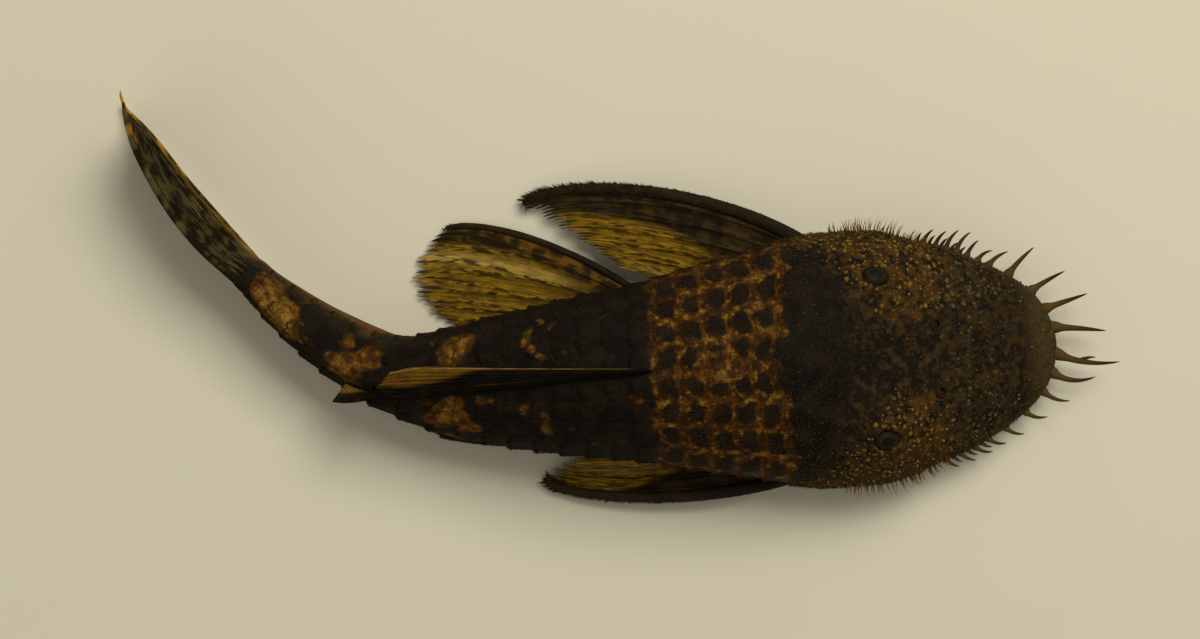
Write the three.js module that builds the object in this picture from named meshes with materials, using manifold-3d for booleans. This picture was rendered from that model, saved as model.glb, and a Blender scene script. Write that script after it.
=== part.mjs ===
// A bristlenose pleco at life size, resting on its belly with its tail swept to its left.
// Millimetres. +X towards the snout, +Y to the fish's left, +Z up. The floor is z = 0 and
// the origin is on the floor, in the middle of the flat that the belly rests on.
import * as THREE from "three";
import { mergeVertices } from "three/addons/utils/BufferGeometryUtils.js";
import Module from "manifold-3d";

const wasm = await Module();
wasm.setup();

const DEG = Math.PI / 180;
const GAP = 0.3; // left between any two pieces that touch

// The midline seen from above. Distances run back from the tip of the snout.
const SNOUT = { x: 39.7, y: 3.2 };
const BODY_LENGTH = 92; // snout to the root of the tail fin
const FISH_LENGTH = 117.3; // snout to the tip of the tail fin, along the bend
const BEND = [ // how far the midline has turned to the fish's left, in degrees
  [0, -6], [12, -4.9], [24, -3.9], [52, -3.6], [60, -2.2], [66, 0.5], [71.5, 12], [75.5, 22.5], [80, 31],
  [86, 38.5], [92, 43.5], [98, 47], [104, 53], [110, 59.5], [118, 64],
];
const ROLL = [ // how far the back leans over to the fish's right, in degrees
  [0, 0], [66, 0], [70, 12], [74, 35], [77, 46], [80, 43], [84, 33], [88, 24], [92, 17],
  [98, 19], [108, 10], [118, -5],
];

// The bare trunk in section: half width, and the heights of back, widest line and belly.
const STATIONS = [
  { at: 0, half: 0, back: 2.9, widest: 2.9, belly: 2.9, round: 2.0, flat: 2.2 },
  { at: 1.3, half: 4.3, back: 4.6, widest: 2.9, belly: 1.75, round: 2.0, flat: 2.4 },
  { at: 4.6, half: 7.55, back: 6.6, widest: 3.0, belly: 1.4, round: 2.0, flat: 2.8 },
  { at: 8, half: 9.5, back: 8.6, widest: 3.1, belly: 1.4, round: 2.0, flat: 3.0 },
  { at: 14.5, half: 12.2, back: 11.5, widest: 3.4, belly: 1.5, round: 2.1, flat: 3.0 },
  { at: 20.8, half: 13.75, back: 13.7, widest: 3.7, belly: 1.4, round: 2.15, flat: 3.0 },
  { at: 26.6, half: 14.0, back: 15.3, widest: 4.0, belly: 1.0, round: 2.1, flat: 3.0 },
  { at: 33.2, half: 12.6, back: 16.7, widest: 4.4, belly: 0.1, round: 2.05, flat: 3.0 },
  { at: 39.8, half: 11.3, back: 17.6, widest: 4.7, belly: -0.25, round: 2.0, flat: 3.0 },
  { at: 46.4, half: 9.8, back: 17.5, widest: 5.0, belly: -0.1, round: 2.0, flat: 2.9 },
  { at: 55.2, half: 8.4, back: 15.6, widest: 5.3, belly: 1.1, round: 2.0, flat: 2.7 },
  { at: 64, half: 6.7, back: 13.1, widest: 5.5, belly: 1.9, round: 2.0, flat: 2.4 },
  { at: 68.4, half: 5.7, back: 12.0, widest: 5.6, belly: 2.0, round: 2.0, flat: 2.3 },
  { at: 73.3, half: 4.1, back: 10.6, widest: 5.7, belly: 1.8, round: 2.1, flat: 2.2 },
  { at: 77.5, half: 2.8, back: 10.1, widest: 5.8, belly: 1.5, round: 2.2, flat: 2.2 },
  { at: 81.3, half: 2.2, back: 9.9, widest: 5.8, belly: 1.4, round: 2.2, flat: 2.2 },
  { at: 86.2, half: 1.8, back: 10.0, widest: 5.9, belly: 1.4, round: 2.2, flat: 2.2 },
  { at: 92, half: 1.35, back: 10.3, widest: 6.0, belly: 1.4, round: 2.2, flat: 2.2 },
];

// Where the trunk is parted, and the bony plates that cover it behind the head.
const NECK = 26;
const PLATES = {
  from: 28.5, pitch: 2.75, height: 0.42, lip: 0.86,
  rowEdges: [0, 16, 31, 49, 73, 98, 121], // degrees round from the back, on both sides
  least: 0.35, // share of the height that is left where the trunk is thinnest
  fullHalf: 9, // the half width over which the plates grow to their height
};
const plateStart = (count) => PLATES.from + PLATES.pitch * count;
const HIPS = plateStart(12); // torso to tail
const STALK = plateStart(19); // tail to tail stalk

// The forms of the head: mounds over the eyes, a hollow between them, a ridge behind.
const EYE = { at: 20.4, out: 8.2, radius: 1.65, sunk: 1.3, rim: 0.5 };
const BROW = { rise: 0.95, wide: 2.5 };
const HOLLOW = { at: 17.5, deep: 0.5, wide: 3.4, long: 5.5 };
const CREST = { at: 27.5, rise: 0.55, wide: 2.2, long: 4.5 };
const NOSTRIL = { at: 14.2, out: 3.7, shift: -0.5, radius: 0.72, rim: 0.3 };
const MOUTH = {
  at: 9.2, halfWidth: 6.3, halfLength: 5.3, thick: 1.7,
  openWidth: 3.2, openLength: 0.8, openDepth: 0.6, barbel: 3.0,
};

// Bristles of the snout: place back from the tip, length, the way each points and how far
// it hooks, in degrees round from straight ahead to the left, and how steeply it rises.
const BRISTLES_LEFT = [
  [0.16, 5.9, -1, -6, 6], [0.9, 5.0, 20, 0, 10], [2.3, 4.4, 36, -10, 14],
  [4.7, 4.3, 56, -16, 18], [6.8, 2.8, 56, -40, 22], [8.0, 2.2, 66, -60, 26],
  [9.2, 2.4, 76, -40, 28], [10.4, 3.0, 78, -44, 22], [11.5, 2.9, 84, -48, 30],
  [12.7, 2.5, 84, -50, 36], [14.0, 2.2, 84, -52, 30],
];
const BRISTLES_RIGHT = [
  [0.14, 7.2, -24, 34, 8], [0.8, 5.0, -34, 58, 8], [2.0, 3.2, -44, 50, 10],
  [4.2, 2.6, -42, 60, 12], [6.6, 2.3, -46, 56, 14], [8.6, 2.2, -44, 60, 20],
  [10.2, 2.3, -44, 56, 24], [11.8, 2.1, -50, 50, 26], [13.4, 1.8, -54, 46, 28],
];
const BRISTLE = { root: 0.52, sides: 6, sunk: 1.1 };
const CHEEK_SPINES = { count: 11, from: 14.6, to: 23.6, length: 1.5, root: 0.36, sunk: 0.8 };

// The fins. Each has a spine on its leading edge and rays that stand up as ridges.
const RAY_HALF = 0.44;
const WEB_HALF = 0.27;
const PECTORALS = {
  pectoral_fin_left: {
    root: [13.4, 12.6, 4.4], rootEnd: [10.5, 6.6, 4.3], tip: [-19.9, 18.6, 1.0],
    tipEnd: [-8.6, 11.2, 3.1], bulge: [-0.6, 0.6, 0], bow: [0, 4.2, 0.4], rays: 6, spine: 1.1, spikes: 9,
  },
  pectoral_fin_right: {
    root: [13.4, -10.4, 4.2], rootEnd: [10.5, -5.4, 4.0], tip: [-17.4, -12.4, 1.0],
    tipEnd: [-9.6, -8.6, 1.5], bulge: [-1.2, 0.2, 0], bow: [0, -3.0, 0.2], rays: 6, spine: 1.1, spikes: 9,
  },
};
const PELVICS = {
  pelvic_fin_left: {
    root: [-4.6, 6.6, 1.9], rootEnd: [-9.6, 3.9, 1.7], tip: [-28.0, 16.0, 0.6],
    tipEnd: [-26.4, 4.4, 0.8], bulge: [-4.6, -0.4, 0], bow: [0, 3.0, -0.2], rays: 5, spine: 0.62, spikes: 0,
  },
  pelvic_fin_right: {
    root: [-5.6, -6.8, 1.9], rootEnd: [-9.6, -4.4, 1.6], tip: [-29.0, -7.3, 0.6],
    tipEnd: [-27.2, -3.4, 0.7], bulge: [-2.0, 0, 0], bow: [0, -1.5, -0.3], rays: 5, spine: 0.62, spikes: 0,
  },
};
const TAIL_FIN = {
  upperTip: 116.6, fork: 113.2, lowerTip: 117.3, rootHalf: 4.2, tipHalf: 6.3,
  rootThick: 1.1, rays: 12, steps: 8,
};
const DORSAL_FIN = {
  from: 45.2, attached: 69, to: 76.2, width: 3.1, height: 2.5, folds: 5, groove: 0.34,
  sunk: 0.9, thin: -0.75, droop: 0.055, lean: 0.55, aside: 0.2, steps: 14,
};
const ADIPOSE_FIN = { from: 72.6, to: 77.6, rise: 3.2, sweep: 5.2 };
const ANAL_FIN = { from: 62.5, to: 73.5, depth: 1.5, half: 0.62 };

const vec = (x, y, z) => new THREE.Vector3(x, y, z);
const mix = (a, b, t) => a + (b - a) * t;

// A smooth curve through given values that never overshoots them.
function curveThrough(xs, ys) {
  const last = xs.length - 1;
  const steps = xs.slice(1).map((x, i) => x - xs[i]);
  const slopes = steps.map((step, i) => (ys[i + 1] - ys[i]) / step);
  const tangents = ys.map((_, i) => {
    if (i === 0) return slopes[0];
    if (i === last) return slopes[last - 1];
    if (slopes[i - 1] * slopes[i] <= 0) return 0;
    const before = 2 * steps[i] + steps[i - 1];
    const after = steps[i] + 2 * steps[i - 1];
    return (before + after) / (before / slopes[i - 1] + after / slopes[i]);
  });
  return (x) => {
    const held = Math.min(Math.max(x, xs[0]), xs[last]);
    const i = Math.min(Math.max(xs.findLastIndex((v) => v <= held), 0), last - 1);
    const t = (held - xs[i]) / steps[i];
    const ease = t * t * (3 - 2 * t);
    const leave = t * (1 - t) * (1 - t) * steps[i] * tangents[i];
    const arrive = t * t * (t - 1) * steps[i] * tangents[i + 1];
    return mix(ys[i], ys[i + 1], ease) + leave + arrive;
  };
}

const turnAt = curveThrough(BEND.map((row) => row[0]), BEND.map((row) => row[1] * DEG));
const rollAt = curveThrough(ROLL.map((row) => row[0]), ROLL.map((row) => row[1] * DEG));

// The stations are read against the root of the distance, which keeps the snout blunt.
const stationRoots = STATIONS.map((row) => Math.sqrt(row.at));
const sectionCurves = Object.fromEntries(
  ["half", "back", "widest", "belly", "round", "flat"].map((key) => [
    key,
    curveThrough(stationRoots, STATIONS.map((row) => row[key])),
  ]),
);
const sectionAt = (key, at) => sectionCurves[key](Math.sqrt(Math.max(at, 0)));

// The midline is walked back from the snout in short steps.
const WALK = 0.25;
const midline = [vec(SNOUT.x, SNOUT.y, 0)];
for (let at = 0; at < FISH_LENGTH + 2; at += WALK) {
  const turn = turnAt(at + WALK / 2);
  const here = midline[midline.length - 1];
  midline.push(vec(here.x - Math.cos(turn) * WALK, here.y + Math.sin(turn) * WALK, 0));
}

// A point beside the midline: left of it, and above the floor, before the roll is added.
function besideMidline(at, left, height, rollAbout = sectionAt("widest", at)) {
  const place = Math.min(Math.max(at, 0), FISH_LENGTH + 1) / WALK;
  const i = Math.floor(place);
  const centre = midline[i].clone().lerp(midline[i + 1], place - i);
  const turn = turnAt(at);
  const roll = rollAt(at);
  const rise = height - rollAbout;
  const across = left * Math.cos(roll) - rise * Math.sin(roll);
  const up = rollAbout + rise * Math.cos(roll) + left * Math.sin(roll);
  return vec(centre.x + Math.sin(turn) * across, centre.y + Math.cos(turn) * across, up);
}

// A point on the trunk, at an angle round from the back to the left side, raised by extra.
function trunkPoint(at, angle, extra = 0) {
  const side = Math.sin(angle);
  const rise = Math.cos(angle);
  const power = sectionAt(rise >= 0 ? "round" : "flat", at);
  const reach = Math.pow(Math.abs(side) ** power + Math.abs(rise) ** power, -1 / power);
  const widest = sectionAt("widest", at);
  const tall = rise >= 0 ? sectionAt("back", at) - widest : widest - sectionAt("belly", at);
  const left = (sectionAt("half", at) + extra) * reach * side;
  return besideMidline(at, left, widest + (tall + extra) * reach * rise, widest);
}

const hump = (distance, wide) => Math.exp(-((distance / wide) ** 2) / 2);

// How far the head stands proud of the plain section, or dips below it.
function headRelief(at, angle) {
  const rise = Math.cos(angle);
  if (rise <= 0 || at <= 0) return 0;
  const left = sectionAt("half", at) * Math.sin(angle);
  const brow = BROW.rise * hump(Math.hypot(at - EYE.at, Math.abs(left) - EYE.out), BROW.wide);
  const hollow = HOLLOW.deep * hump(left, HOLLOW.wide) * hump(at - HOLLOW.at, HOLLOW.long);
  const crest = CREST.rise * hump(left, CREST.wide) * hump(at - CREST.at, CREST.long);
  return (brow - hollow + crest) * Math.min(1, rise * 3);
}

// Each plate slopes up to a lip at its rear and sinks at its two long edges.
function plateRelief(at, angle) {
  if (at <= PLATES.from) return 0;
  const around = Math.abs(((angle / DEG + 540) % 360) - 180);
  const row = PLATES.rowEdges.findLastIndex((edge) => edge <= around + 1e-6);
  if (row < 0 || row >= PLATES.rowEdges.length - 1) return 0;
  const across = (around - PLATES.rowEdges[row]) / (PLATES.rowEdges[row + 1] - PLATES.rowEdges[row]);
  const along = ((at - PLATES.from) / PLATES.pitch) % 1;
  const slope = along <= PLATES.lip ? along / PLATES.lip : (1 - along) / (1 - PLATES.lip);
  const crown = 1 - Math.abs(2 * across - 1) ** 3;
  const fade = Math.min(1, (BODY_LENGTH - at) / PLATES.pitch);
  const size = Math.min(1, PLATES.least + sectionAt("half", at) / PLATES.fullHalf);
  return PLATES.height * slope * crown * fade * size;
}

const skinPoint = (at, angle, extra = 0) =>
  trunkPoint(at, angle, headRelief(at, angle) + plateRelief(at, angle) + extra);

function geometryOf(points, faces) {
  const geometry = new THREE.BufferGeometry();
  const numbers = points.flatMap((p) => [p.x, p.y, p.z]);
  geometry.setAttribute("position", new THREE.Float32BufferAttribute(numbers, 3));
  geometry.setIndex(faces);
  return geometry;
}

// A closed skin over rings of points that run anticlockwise seen from the last ring.
// A ring of one point is a tip, and any other end is closed flat round its middle.
function loft(rings) {
  const points = [];
  const faces = [];
  const starts = rings.map((ring) => {
    points.push(...ring);
    return points.length - ring.length;
  });
  for (let i = 0; i + 1 < rings.length; i += 1) {
    const here = rings[i].length;
    const next = rings[i + 1].length;
    const count = Math.max(here, next);
    for (let j = 0; j < count; j += 1) {
      const k = (j + 1) % count;
      const a = starts[i] + (here > 1 ? j : 0);
      const b = starts[i] + (here > 1 ? k : 0);
      const c = starts[i + 1] + (next > 1 ? k : 0);
      const d = starts[i + 1] + (next > 1 ? j : 0);
      if (here > 1) faces.push(a, b, c);
      if (next > 1) faces.push(a, c, d);
    }
  }
  const close = (ring, start, outward) => {
    if (ring.length < 2) return;
    const middle = ring.reduce((sum, p) => sum.add(p), vec(0, 0, 0)).divideScalar(ring.length);
    points.push(middle);
    ring.forEach((_, j) => {
      const a = start + j;
      const b = start + ((j + 1) % ring.length);
      faces.push(points.length - 1, outward ? a : b, outward ? b : a);
    });
  };
  close(rings[0], starts[0], false);
  close(rings[rings.length - 1], starts[rings.length - 1], true);
  return geometryOf(points, faces);
}

function solidOf(geometry) {
  const bare = new THREE.BufferGeometry();
  bare.setAttribute("position", geometry.getAttribute("position"));
  bare.setIndex(geometry.index);
  const merged = mergeVertices(bare, 1e-4);
  const solid = new wasm.Manifold(new wasm.Mesh({
    numProp: 3,
    vertProperties: new Float32Array(merged.attributes.position.array),
    triVerts: new Uint32Array(merged.index.array),
  }));
  if (solid.volume() <= 0) throw new Error("a closed surface has its faces pointing inwards");
  return solid;
}

// The largest closed surface of a solid, as a geometry.
function geometryFrom(solid) {
  const largest = solid.decompose().sort((a, b) => b.volume() - a.volume())[0];
  const mesh = largest.getMesh();
  const points = [];
  for (let i = 0; i < mesh.numVert; i += 1) {
    points.push(vec(...mesh.vertProperties.subarray(i * mesh.numProp, i * mesh.numProp + 3)));
  }
  return geometryOf(points, Array.from(mesh.triVerts));
}

const fuse = (solids) => solids.reduce((sum, solid) => sum.add(solid));

// A tapered spike that bends evenly from one bearing to another.
function spike({ root, bearing, hook, rise, length, thick, sunk, sides, joints }) {
  const along = (t) => {
    const turn = bearing + hook * Math.max(t, 0);
    return vec(Math.cos(turn) * Math.cos(rise), Math.sin(turn) * Math.cos(rise), Math.sin(rise));
  };
  const rings = [];
  const centre = root.clone().addScaledVector(along(0), -sunk);
  rings.push({ centre: centre.clone(), aim: along(0), radius: thick });
  centre.copy(root);
  for (let i = 1; i <= joints; i += 1) {
    const t = i / joints;
    centre.addScaledVector(along(t - 0.5 / joints), length / joints);
    rings.push({ centre: centre.clone(), aim: along(t), radius: thick * (1 - t) ** 0.7 });
  }
  return loft(rings.map(({ centre: middle, aim, radius }, i) => {
    if (i === rings.length - 1) return [middle];
    const up = vec(0, 0, 1).addScaledVector(aim, -aim.z).normalize();
    const out = new THREE.Vector3().crossVectors(up, aim);
    return Array.from({ length: sides }, (_, j) => {
      const angle = (j / sides) * 2 * Math.PI;
      return middle.clone()
        .addScaledVector(out, Math.cos(angle) * radius)
        .addScaledVector(up, Math.sin(angle) * radius);
    });
  }));
}

const aboveFloor = (p) => vec(p.x, p.y, Math.max(p.z, 0));

// The ring of the trunk at one place, on the given angles.
const trunkRing = (at, angles, extra = 0) =>
  angles.map((angle) => {
    const p = skinPoint(at, angle, extra);
    return extra > 0 ? p : aboveFloor(p);
  });

const HEAD_ANGLES = Array.from({ length: 42 }, (_, i) => (i / 42) * 2 * Math.PI);

function plateAngles() {
  const oneSide = [];
  PLATES.rowEdges.slice(0, -1).forEach((edge, i) => {
    const wide = PLATES.rowEdges[i + 1] - edge;
    if (edge > 0) oneSide.push(edge);
    oneSide.push(edge + wide * 0.3, edge + wide * 0.7);
  });
  oneSide.push(PLATES.rowEdges.at(-1), 140, 160);
  return [0, ...oneSide, 180, ...oneSide.map((a) => 360 - a).reverse()].map((a) => a * DEG);
}
const PLATE_ANGLES = plateAngles();

// Places of the rings between two cuts: at the front and the lip of each plate.
function ringPlaces(from, to) {
  const places = [from];
  for (let start = PLATES.from; start < to; start += PLATES.pitch) {
    [0, PLATES.lip].forEach((share) => {
      const at = start + PLATES.pitch * share;
      if (at > from + 0.35 && at < to - 0.35) places.push(at);
    });
  }
  places.push(to);
  return places;
}

const trunkLength = (from, to) =>
  loft(ringPlaces(from, to).map((at) => trunkRing(at, PLATE_ANGLES)));

// The rings of the head stand closer together towards the tip of the snout.
const HEAD_RINGS = { count: 24, gather: 1.6 };
function headRings(extra, end) {
  const rings = [[trunkPoint(0, 0, 0)]];
  for (let i = 1; i <= HEAD_RINGS.count; i += 1) {
    rings.push(trunkRing(end * (i / HEAD_RINGS.count) ** HEAD_RINGS.gather, HEAD_ANGLES, extra));
  }
  return rings;
}

// The trunk grown by the gap, which whatever grows from it is cut clear of.
const grownTrunk = fuse([
  solidOf(loft(headRings(GAP, NECK + 1))),
  solidOf(loft(ringPlaces(NECK, BODY_LENGTH).map((at) => trunkRing(at, PLATE_ANGLES, GAP)))),
]);

function surfaceFrame(at, angle) {
  const p = skinPoint(at, angle);
  const back = skinPoint(at + 0.2, angle).sub(p);
  const round = skinPoint(at, angle + 0.02).sub(p);
  return { p, normal: new THREE.Vector3().crossVectors(round, back).normalize() };
}

// A ring that stands round an axis: the rim of an eye, a nostril.
function rimRing(centre, axis, radius, thick, around = 16, sides = 6) {
  const geometry = new THREE.TorusGeometry(radius, thick, sides, around);
  geometry.applyQuaternion(new THREE.Quaternion().setFromUnitVectors(vec(0, 0, 1), axis));
  return geometry.translate(centre.x, centre.y, centre.z);
}

const headFrame = (at, left) => surfaceFrame(at, Math.asin(left / sectionAt("half", at)));

// The eyes sit in the mounds of the head and look out square to them.
function eyeCentre(side) {
  const { p, normal } = headFrame(EYE.at, side * EYE.out);
  return p.addScaledVector(normal, -EYE.sunk);
}

const sphereAt = (centre, radius, around, rows) =>
  new THREE.SphereGeometry(radius, around, rows)
    .rotateX(Math.PI / 2)
    .translate(centre.x, centre.y, centre.z);

function bristle([at, length, bearing, hook, rise], side) {
  const margin = surfaceFrame(at, side * 84 * DEG);
  return solidOf(spike({
    root: margin.p, bearing: bearing * DEG, hook: hook * DEG, rise: rise * DEG, length,
    thick: BRISTLE.root * Math.min(1.25, 0.62 + length / 9), sunk: BRISTLE.sunk, sides: BRISTLE.sides,
    joints: length > 3 ? 3 : 2,
  }));
}

// A small brush of spines that stands out behind the corner of the cheek.
function cheekSpine(i, side) {
  const t = i / (CHEEK_SPINES.count - 1);
  const at = mix(CHEEK_SPINES.from, CHEEK_SPINES.to, t);
  const margin = surfaceFrame(at, side * (76 + 8 * (i % 3)) * DEG);
  return solidOf(spike({
    root: margin.p, bearing: side * mix(78, 118, t) * DEG, hook: side * -14 * DEG,
    rise: (12 + 9 * (i % 3)) * DEG, length: CHEEK_SPINES.length * (0.8 + 0.25 * (i % 2)),
    thick: CHEEK_SPINES.root, sunk: CHEEK_SPINES.sunk, sides: 4, joints: 1,
  }));
}

function headGeometry() {
  const parts = [solidOf(loft(headRings(0, NECK - GAP / 2)))];
  const cuts = [];
  [1, -1].forEach((side) => {
    const eye = eyeCentre(side);
    const { normal } = headFrame(EYE.at, side * EYE.out);
    const rimAt = eye.clone().addScaledVector(normal, EYE.radius * 0.6);
    parts.push(solidOf(rimRing(rimAt, normal, EYE.radius, EYE.rim)));
    cuts.push(solidOf(sphereAt(eye, EYE.radius + GAP, 16, 12)));
    const nose = headFrame(NOSTRIL.at, side * NOSTRIL.out + NOSTRIL.shift);
    parts.push(solidOf(rimRing(nose.p, nose.normal, NOSTRIL.radius, NOSTRIL.rim, 10, 5)));
    cuts.push(solidOf(sphereAt(nose.p, NOSTRIL.radius * 0.8, 8, 6)));
    for (let i = 0; i < CHEEK_SPINES.count; i += 1) parts.push(cheekSpine(i, side));
  });
  BRISTLES_LEFT.forEach((row) => parts.push(bristle(row, 1)));
  BRISTLES_RIGHT.forEach((row) => parts.push(bristle(row, -1)));
  return geometryFrom(fuse(parts).subtract(fuse(cuts)));
}

// An oval outline under the head, at one height, for the lips and for the gap between them.
const mouthOval = (halfWidth, halfLength, height, count, curve = 0) =>
  Array.from({ length: count }, (_, i) => {
    const angle = (i / count) * 2 * Math.PI;
    const left = Math.sin(angle) * halfWidth;
    const back = -Math.cos(angle) * halfLength + curve * (left / halfWidth) ** 2;
    return besideMidline(MOUTH.at + back, left, height);
  });

// The sucker: one oval disc of two lips, parted by the line of the mouth, with a barbel
// at each corner.
function lipsGeometry() {
  const disc = solidOf(loft([
    mouthOval(MOUTH.halfWidth - 0.5, MOUTH.halfLength - 0.5, 0, 28),
    mouthOval(MOUTH.halfWidth, MOUTH.halfLength, 0.45, 28),
    mouthOval(MOUTH.halfWidth - 0.4, MOUTH.halfLength - 0.4, MOUTH.thick, 28),
  ]));
  const line = solidOf(loft([
    mouthOval(MOUTH.openWidth, MOUTH.openLength, -0.5, 14, -0.5),
    mouthOval(MOUTH.openWidth * 0.9, MOUTH.openLength * 0.6, MOUTH.openDepth, 14, -0.5),
  ]));
  const barbels = [1, -1].map((side) => solidOf(spike({
    root: besideMidline(MOUTH.at + 0.6, side * (MOUTH.halfWidth - 0.5), MOUTH.thick * 0.45),
    bearing: side * 128 * DEG, hook: side * 30 * DEG, rise: 0, length: MOUTH.barbel,
    thick: 0.5, sunk: 1.2, sides: 6, joints: 2,
  })));
  return geometryFrom(fuse([disc, ...barbels]).subtract(fuse([line, grownTrunk])));
}

// A sheet with two faces, thick where half() says, and split alike on both of them.
function sheet(rows, columns, middle, half) {
  const grid = rows.map((a) => columns.map((b) => middle(a, b)));
  const step = 1e-3;
  const faces = [];
  const upper = [];
  const lower = [];
  grid.forEach((line, i) => line.forEach((p, j) => {
    const a = Math.min(rows[i], 1 - step);
    const b = Math.min(columns[j], 1 - step);
    const along = middle(a + step, b).sub(middle(a, b));
    const across = middle(a, b + step).sub(middle(a, b));
    const normal = new THREE.Vector3().crossVectors(along, across).normalize();
    const reach = half(j, rows[i], columns[j]);
    upper.push(aboveFloor(p.clone().addScaledVector(normal, reach)));
    lower.push(aboveFloor(p.clone().addScaledVector(normal, -reach)));
  }));
  const wide = columns.length;
  const count = upper.length;
  const quad = (a, b, c, d) => faces.push(a, b, c, a, c, d);
  for (let i = 0; i + 1 < rows.length; i += 1) {
    for (let j = 0; j + 1 < wide; j += 1) {
      const [a, b, c, d] = [i * wide + j, (i + 1) * wide + j, (i + 1) * wide + j + 1, i * wide + j + 1];
      faces.push(a, b, c, a, c, d);
      faces.push(a + count, c + count, b + count, a + count, d + count, c + count);
    }
  }
  for (let i = 0; i + 1 < rows.length; i += 1) {
    const [a, b] = [i * wide, (i + 1) * wide];
    quad(b, a, a + count, b + count);
    quad(a + wide - 1, b + wide - 1, b + wide - 1 + count, a + wide - 1 + count);
  }
  for (let j = 0; j + 1 < wide; j += 1) {
    quad(j, j + 1, j + 1 + count, j + count);
    const end = (rows.length - 1) * wide + j;
    quad(end + 1, end, end + count, end + 1 + count);
  }
  return geometryOf([...upper, ...lower], faces);
}

// Columns of a fin from its spine back: three for the spine, then two to each ray.
function finColumns(rays) {
  const columns = [
    { b: 0, kind: "edge" }, { b: 0.045, kind: "spine" }, { b: 0.11, kind: "web" },
  ];
  for (let i = 1; i <= rays; i += 1) {
    const b = 0.11 + (0.89 * (i - 0.35)) / rays;
    columns.push({ b, kind: "ray" });
    if (i < rays) columns.push({ b: b + 0.445 / rays, kind: "web" });
  }
  columns.push({ b: 1, kind: "edge" });
  return columns;
}

function pairedFin(size) {
  const columns = finColumns(size.rays);
  const rows = [0, 0.1, 0.22, 0.36, 0.5, 0.64, 0.78, 0.9, 1];
  const point = (list) => vec(...list);
  const middle = (a, b) => {
    const root = point(size.root).lerp(point(size.rootEnd), b);
    const tip = point(size.tip).lerp(point(size.tipEnd), b);
    tip.addScaledVector(point(size.bulge), 4 * b * (1 - b));
    const bowed = Math.pow(Math.max(4 * a * (1 - a), 0), 0.7) * (1 - b) ** 1.5;
    return root.lerp(tip, a).addScaledVector(point(size.bow), bowed);
  };
  const half = (j, a) => {
    const { kind } = columns[j];
    const shrink = mix(1, 0.62, a);
    if (kind === "spine") return size.spine * shrink;
    if (kind === "ray") return RAY_HALF * shrink;
    return kind === "edge" ? WEB_HALF * 0.8 : WEB_HALF;
  };
  const blade = solidOf(sheet(rows, columns.map((c) => c.b), middle, half));
  const side = Math.sign(size.root[1]);
  const spikes = Array.from({ length: size.spikes }, (_, i) => {
    const t = 0.62 + (0.36 * i) / size.spikes;
    const root = middle(t, 0.02);
    root.z = Math.max(root.z, 0.6);
    return solidOf(spike({
      root, bearing: side * mix(112, 150, i / size.spikes) * DEG, hook: side * -20 * DEG,
      rise: (10 + 14 * (i % 2)) * DEG, length: 1.15, thick: 0.34, sunk: 0.7, sides: 4, joints: 1,
    }));
  });
  return geometryFrom(fuse([blade, ...spikes]).subtract(grownTrunk));
}

// The tail fin, half closed: its rays leave the stalk and fan a little.
function tailFinGeometry() {
  const from = BODY_LENGTH + GAP / 2;
  const columns = [0, 0.03];
  const kinds = ["edge", "spine"];
  for (let i = 1; i < TAIL_FIN.rays; i += 1) {
    columns.push(mix(0.03, 0.97, (i - 0.5) / TAIL_FIN.rays), mix(0.03, 0.97, i / TAIL_FIN.rays));
    kinds.push("web", "ray");
  }
  columns.push(mix(0.03, 0.97, (TAIL_FIN.rays - 0.5) / TAIL_FIN.rays), 0.97, 1);
  kinds.push("web", "spine", "edge");
  const rows = Array.from({ length: TAIL_FIN.steps + 1 }, (_, i) => i / TAIL_FIN.steps);
  const endOf = (b) => {
    const tip = mix(TAIL_FIN.upperTip, TAIL_FIN.lowerTip, b);
    const dip = mix(TAIL_FIN.upperTip, TAIL_FIN.lowerTip, 0.5) - TAIL_FIN.fork;
    return tip - dip * Math.pow(4 * b * (1 - b), 0.8);
  };
  const middle = (a, b) => {
    const at = mix(from, endOf(b), a);
    const tall = mix(TAIL_FIN.rootHalf, TAIL_FIN.tipHalf, Math.pow(a, 0.75));
    const centre = mix(sectionAt("widest", BODY_LENGTH), TAIL_FIN.tipHalf + 0.35, a);
    return besideMidline(at, 0, centre + tall * (1 - 2 * b), centre);
  };
  const half = (j, a, b) => {
    const body = TAIL_FIN.rootThick * Math.max(0, 1 - a * 3.2) ** 1.4;
    const round = Math.sqrt(Math.max(0, 1 - (2 * b - 1) ** 2));
    const thin = { edge: 0.22, spine: mix(0.55, 0.36, a), ray: mix(0.42, 0.3, a), web: 0.25 }[kinds[j]];
    return Math.max(thin, body * round);
  };
  return sheet(rows, columns, middle, half);
}

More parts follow.
